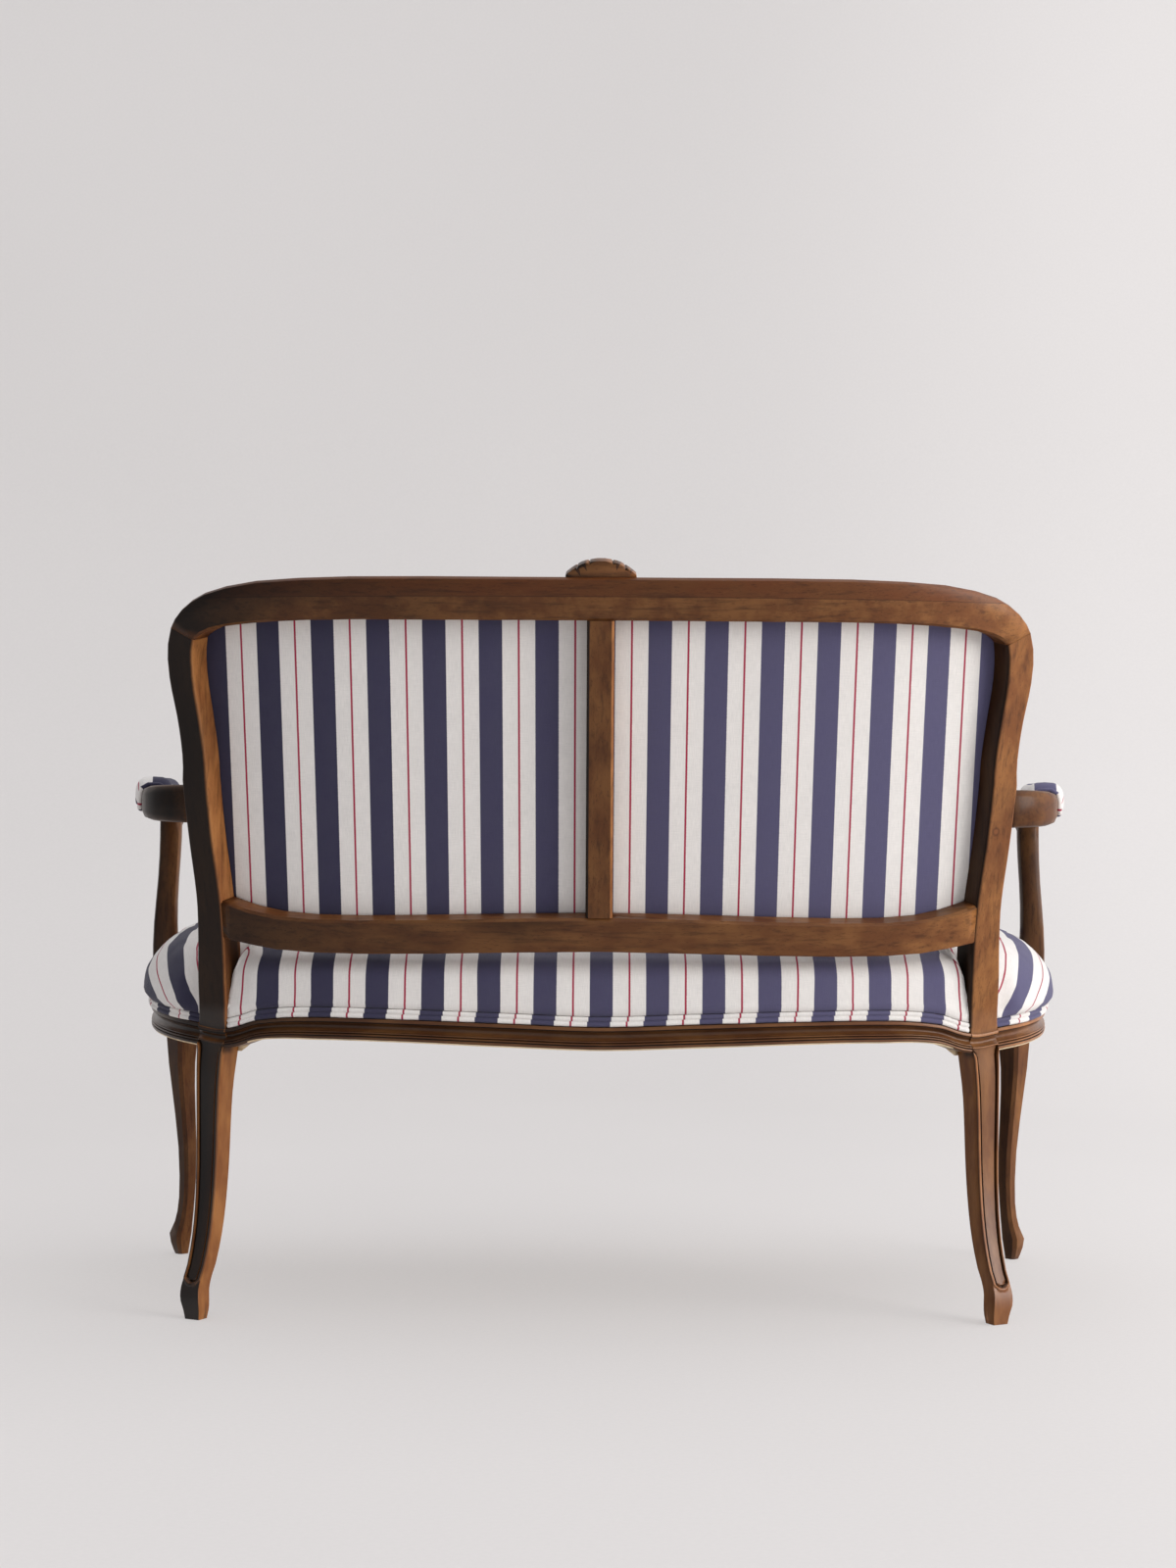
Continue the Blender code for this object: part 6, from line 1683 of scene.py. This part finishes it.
class SETTEE_OT_frame(bpy.types.Operator):
    """Polish the back frame, seat frame, legs and arms"""
    bl_idname = "settee.frame"
    bl_label = "Polished frame"

    def execute(self, context):
        finish = context.scene.settee_finish
        across = make_stained_wood("polished beech across", "x", finish, glossy_below=0.42)
        upright = make_stained_wood("polished beech upright", "z", finish, glossy_below=0.37)
        forward = make_stained_wood("polished beech forward", "y", finish)
        crest = make_stained_wood("polished beech crest", "x", finish, 0.8800,
                                  glossy_below=0.1)
        carved = make_stained_wood("polished beech carving", "x", finish, cuts=True,
                                   glossy_below=0.1)
        arm_wood = make_stained_wood("polished beech arm", "y", finish, glossy_below=0.1)
        leg_wood = make_stained_wood("polished beech front leg", "z", finish, glossy_below=0.0)
        knotted = make_stained_wood("polished beech with knot", "z", finish, knot=STILE_KNOT,
                                    glossy_below=0.37)
        raw = make_raw_wood("raw beech underside", "x", finish)
        polish_node("crest_rail", crest)
        polish_node("crest_carving", carved, angle=30, level=0.40)
        polish_node("lower_back_rail", across)
        make_rail("rear_rail_finish", "rear_seat_rail", rear_rail_run(), across, raw,
                  raw_to=0.436)
        make_rail("front_rail_finish", "front_seat_rail", front_rail_run(), across, raw)
        for side, sign, stile_wood in (("left", -1, upright), ("right", 1, knotted)):
            make_stile(sign, "stile_finish_" + side, "back_stile_" + side, stile_wood)
            make_rail("side_rail_finish_" + side, "side_seat_rail_" + side, side_rail_run(),
                      forward, raw, sign)
            polish_node("front_leg_" + side, leg_wood, painted_light_range=0.45, level=0.38)
            polish_node("arm_support_" + side, upright, painted_light_range=0.45, level=0.27)
            polish_node("arm_" + side, arm_wood, angle=44, painted_light_range=0.6, level=0.26)
        polish_node("back_upright", upright)
        return {"FINISHED"}


BLOCK_DROP = 0.0020
BLOCK_CUT = (0.4440, 0.3252)
BLOCK_CUT_WAY = (-0.66, -0.75)


def slant_block(side, node, material):
    """Rear corner block with its lower inner corner sawn off."""
    piece = polish_node(node, material, "raw_beech")
    bm = bmesh.new()
    bm.from_mesh(piece.data)
    for vertex in bm.verts:
        if vertex.co.z < 0.335 and abs(vertex.co.x) < 0.470:
            vertex.co.z -= BLOCK_DROP
    cut = bmesh.ops.bisect_plane(bm, geom=bm.verts[:] + bm.edges[:] + bm.faces[:],
                                 plane_co=(side * BLOCK_CUT[0], 0, BLOCK_CUT[1]),
                                 plane_no=(side * BLOCK_CUT_WAY[0], 0, BLOCK_CUT_WAY[1]),
                                 clear_outer=True)
    edges = [item for item in cut["geom_cut"] if isinstance(item, bmesh.types.BMEdge)]
    bmesh.ops.holes_fill(bm, edges=edges)
    bm.to_mesh(piece.data)
    bm.free()


class SETTEE_OT_blocks(bpy.types.Operator):
    """Finish the raw corner blocks and the stretcher under the seat"""
    bl_idname = "settee.blocks"
    bl_label = "Raw blocks and stretcher"

    def execute(self, context):
        finish = context.scene.settee_finish
        across = make_raw_wood("raw beech across", "x", finish)
        forward = make_raw_wood("raw beech forward", "y", finish)
        for side, sign in (("left", -1), ("right", 1)):
            slant_block(sign, "seat_block_rear_" + side, across)
            polish_node("seat_block_front_" + side, across, "raw_beech")
        polish_node("seat_stretcher", forward, "raw_beech")
        return {"FINISHED"}


class SETTEE_OT_back(bpy.types.Operator):
    """Make the outside cover and the inside pad of the back"""
    bl_idname = "settee.back"
    bl_label = "Back cover and pad"

    def execute(self, context):
        cloth = make_striped_cloth("striped cloth back", context.scene, STRIPE_BACK)
        make_outside_back(cloth)
        make_inside_back(cloth)
        return {"FINISHED"}


class SETTEE_OT_seat(bpy.types.Operator):
    """Make the stuffed seat"""
    bl_idname = "settee.seat"
    bl_label = "Stuffed seat"

    def execute(self, context):
        make_seat_cushion(make_striped_cloth("striped cloth seat", context.scene, STRIPE_SEAT))
        return {"FINISHED"}


class SETTEE_OT_welts(bpy.types.Operator):
    """Make the double welts of the seat and the back"""
    bl_idname = "settee.welts"
    bl_label = "Double welts"

    def execute(self, context):
        make_welts(make_striped_cloth("striped cloth welt", context.scene, STRIPE_SEAT))
        return {"FINISHED"}


class SETTEE_OT_arm_pads(bpy.types.Operator):
    """Make the arm pads and their welts"""
    bl_idname = "settee.arm_pads"
    bl_label = "Arm pads"

    def execute(self, context):
        cloth = make_striped_cloth("striped cloth arm", context.scene)
        start = context.scene.settee_sizes.stripe_start
        make_arm_cushion(1, "arm_cushion_right", "arm_pad_right", start, cloth)
        make_arm_cushion(-1, "arm_cushion_left", "arm_pad_left", start - 0.012, cloth)
        make_arm_cord(1, "arm_cord_right", "arm_welt_right", cloth)
        make_arm_cord(-1, "arm_cord_left", "arm_welt_left", cloth)
        return {"FINISHED"}


class SETTEE_OT_webbing(bpy.types.Operator):
    """Make the webbing of the seat and the back, and the hessian"""
    bl_idname = "settee.webbing"
    bl_label = "Webbing and hessian"

    def execute(self, context):
        finish = context.scene.settee_finish
        webbing = make_plain_weave("jute webbing", finish.jute, 0.0022, 0.45,
                                   (0.0, 0.0035, (0.02, 0.02, 0.025)))
        hessian = make_plain_weave("hessian", [c * 1.15 for c in finish.jute], 0.0016, 0.35)
        for i in range(7):
            node = "seat_webbing_%d" % (i + 1)
            make_strip(node, "seat_strip_%d" % (i + 1), webbing, "jute_webbing",
                       1)
        for i in range(2):
            node = "seat_webbing_cross_%d" % (i + 1)
            make_strip(node, "seat_strip_cross_%d" % (i + 1), webbing, "jute_webbing",
                       0)
        for i in range(4):
            make_back_strip(i, webbing)
        make_hessian_sheet(hessian)
        return {"FINISHED"}


class SETTEE_OT_studio(bpy.types.Operator):
    """Set up the backdrop, the lights and the camera"""
    bl_idname = "settee.studio"
    bl_label = "Studio"

    def execute(self, context):
        scene = context.scene
        studio = scene.settee_studio
        scene.view_settings.view_transform = "Standard"
        material, tree, shader = new_material("seamless paper")
        place = object_place(tree)
        tone = cloudy(tree, place, 0.9, 2.0, 0.5)
        grit = cloudy(tree, place, 160.0, 3.0, 0.6)
        shade = calc(tree, "MULTIPLY_ADD", tone, 0.06, 0.97)
        shade = calc(tree, "MULTIPLY", shade, calc(tree, "MULTIPLY_ADD", grit, 0.06, 0.97))
        colour = shaded(tree, studio.backdrop, shade)
        shader.inputs["Roughness"].default_value = 0.85
        shader.inputs["Specular IOR Level"].default_value = 0.1
        path = put(tree, "ShaderNodeLightPath")
        seen = calc(tree, "MAXIMUM", path.outputs["Is Camera Ray"],
                    calc(tree, "MAXIMUM", path.outputs["Is Glossy Ray"],
                         path.outputs["Is Transmission Ray"]))
        colour = blend_colour(tree, seen, (0.70, 0.68, 0.67), colour)
        tree.links.new(colour, shader.inputs["Base Color"])
        # Painted light: the backdrop's glow grows brighter towards the right, on the key light's
        # side
        painted_light_right = between(tree, split_up(tree, place)[0], 0.0, 1.6, 1.0, 1.28)
        glow = calc(tree, "MULTIPLY", calc(tree, "MULTIPLY", painted_light_right, shade), studio.glow)
        tree.links.new(calc(tree, "MULTIPLY", seen, glow), shader.inputs["Emission Strength"])
        shader.inputs["Emission Color"].default_value = (1.0, 0.965, 0.955, 1.0)
        bpy.ops.object.select_all(action="DESELECT")
        bpy.ops.mesh.primitive_plane_add(size=1.0, location=(0, 0, 0))
        floor = context.object
        floor.name = "seamless_backdrop"
        bm = bmesh.new()
        profile = [(-9.0, 0.0), (-4.0, 0.0), (0.0, 0.0), (2.2, 0.0)]
        for a in range(6, 91, 6):
            turn = math.radians(a)
            profile.append((2.2 + 1.6 * math.sin(turn), 1.6 - 1.6 * math.cos(turn)))
        profile.append((3.8, 7.0))
        rows = [[bm.verts.new((x, y, z - 0.0003)) for y, z in profile] for x in (-8.0, 0.0, 8.0)]
        for a, b in zip(rows, rows[1:]):
            for i in range(len(profile) - 1):
                bm.faces.new((a[i], b[i], b[i + 1], a[i + 1]))
        bm.to_mesh(floor.data)
        bm.free()
        floor.data.materials.append(material)
        floor.data.shade_smooth()
        for name, spot, aim, size, power, colour in (
                ("key", (4.4, -2.7, 2.0), (0.0, -0.1, 0.5), (2.6, 2.6), studio.key,
                 (1.0, 0.985, 0.965)),
                ("top", (0.6, -0.4, 3.6), (0.0, 0.2, 0.0), (3.4, 3.0), studio.fill,
                 (1.0, 0.99, 0.98))):
            bpy.ops.object.light_add(type="AREA", location=spot)
            lamp = context.object
            lamp.name = name
            lamp.data.shape = "RECTANGLE"
            lamp.data.size, lamp.data.size_y = size
            lamp.data.energy = power
            lamp.data.color = colour
            run = Vector(aim) - Vector(spot)
            lamp.rotation_euler = run.to_track_quat("-Z", "Y").to_euler()
        world = bpy.data.worlds.new("studio")
        scene.world = world
        world.use_nodes = True
        ground = world.node_tree.nodes["Background"]
        ground.inputs["Color"].default_value = (0.95, 0.96, 1.0, 1.0)
        sky = world.node_tree
        dark = put(sky, "ShaderNodeVectorMath",
                   {0: put(sky, "ShaderNodeTexCoord").outputs["Generated"], 1: (-0.75, -0.66, 0.0)},
                   operation="DOT_PRODUCT").outputs["Value"]
        strength = between(sky, dark, -0.9, 0.9, 1.6 * studio.ambient, 0.45 * studio.ambient)
        sky.links.new(strength, ground.inputs["Strength"])
        bpy.ops.object.camera_add(location=(0.0, -studio.distance, studio.height),
                                  rotation=(math.radians(90), studio.roll, 0))
        camera = context.object
        camera.name = "photograph"
        camera.data.sensor_fit = "VERTICAL"
        camera.data.sensor_height = 36.0
        camera.data.lens = studio.lens
        camera.data.shift_x = -0.0075
        scene.camera = camera
        return {"FINISHED"}


class SETTEE_PT_panel(bpy.types.Panel):
    bl_label = "Settee"
    bl_idname = "SETTEE_PT_panel"
    bl_space_type = "VIEW_3D"
    bl_region_type = "UI"
    bl_category = "Settee"

    def draw(self, context):
        layout = self.layout
        scene = context.scene
        for operator in OPERATORS:
            layout.operator(operator.bl_idname)
        for group in (scene.settee_finish, scene.settee_sizes, scene.settee_studio):
            box = layout.box()
            for name in group.__annotations__:
                box.prop(group, name)


GROUPS = (SetteeFinish, SetteeSizes, SetteeStudio)
OPERATORS = (SETTEE_OT_frame, SETTEE_OT_blocks, SETTEE_OT_back, SETTEE_OT_seat,
             SETTEE_OT_welts, SETTEE_OT_arm_pads, SETTEE_OT_webbing, SETTEE_OT_studio)


def register():
    for kind in GROUPS + OPERATORS + (SETTEE_PT_panel,):
        bpy.utils.register_class(kind)
    bpy.types.Scene.settee_finish = bpy.props.PointerProperty(type=SetteeFinish)
    bpy.types.Scene.settee_sizes = bpy.props.PointerProperty(type=SetteeSizes)
    bpy.types.Scene.settee_studio = bpy.props.PointerProperty(type=SetteeStudio)


def unregister():
    del bpy.types.Scene.settee_studio
    del bpy.types.Scene.settee_sizes
    del bpy.types.Scene.settee_finish
    for kind in reversed(GROUPS + OPERATORS + (SETTEE_PT_panel,)):
        bpy.utils.unregister_class(kind)


def main():
    register()
    bpy.ops.settee.frame()
    bpy.ops.settee.blocks()
    bpy.ops.settee.back()
    bpy.ops.settee.seat()
    bpy.ops.settee.welts()
    bpy.ops.settee.arm_pads()
    bpy.ops.settee.webbing()
    bpy.ops.settee.studio()


if __name__ == "__main__":
    main()
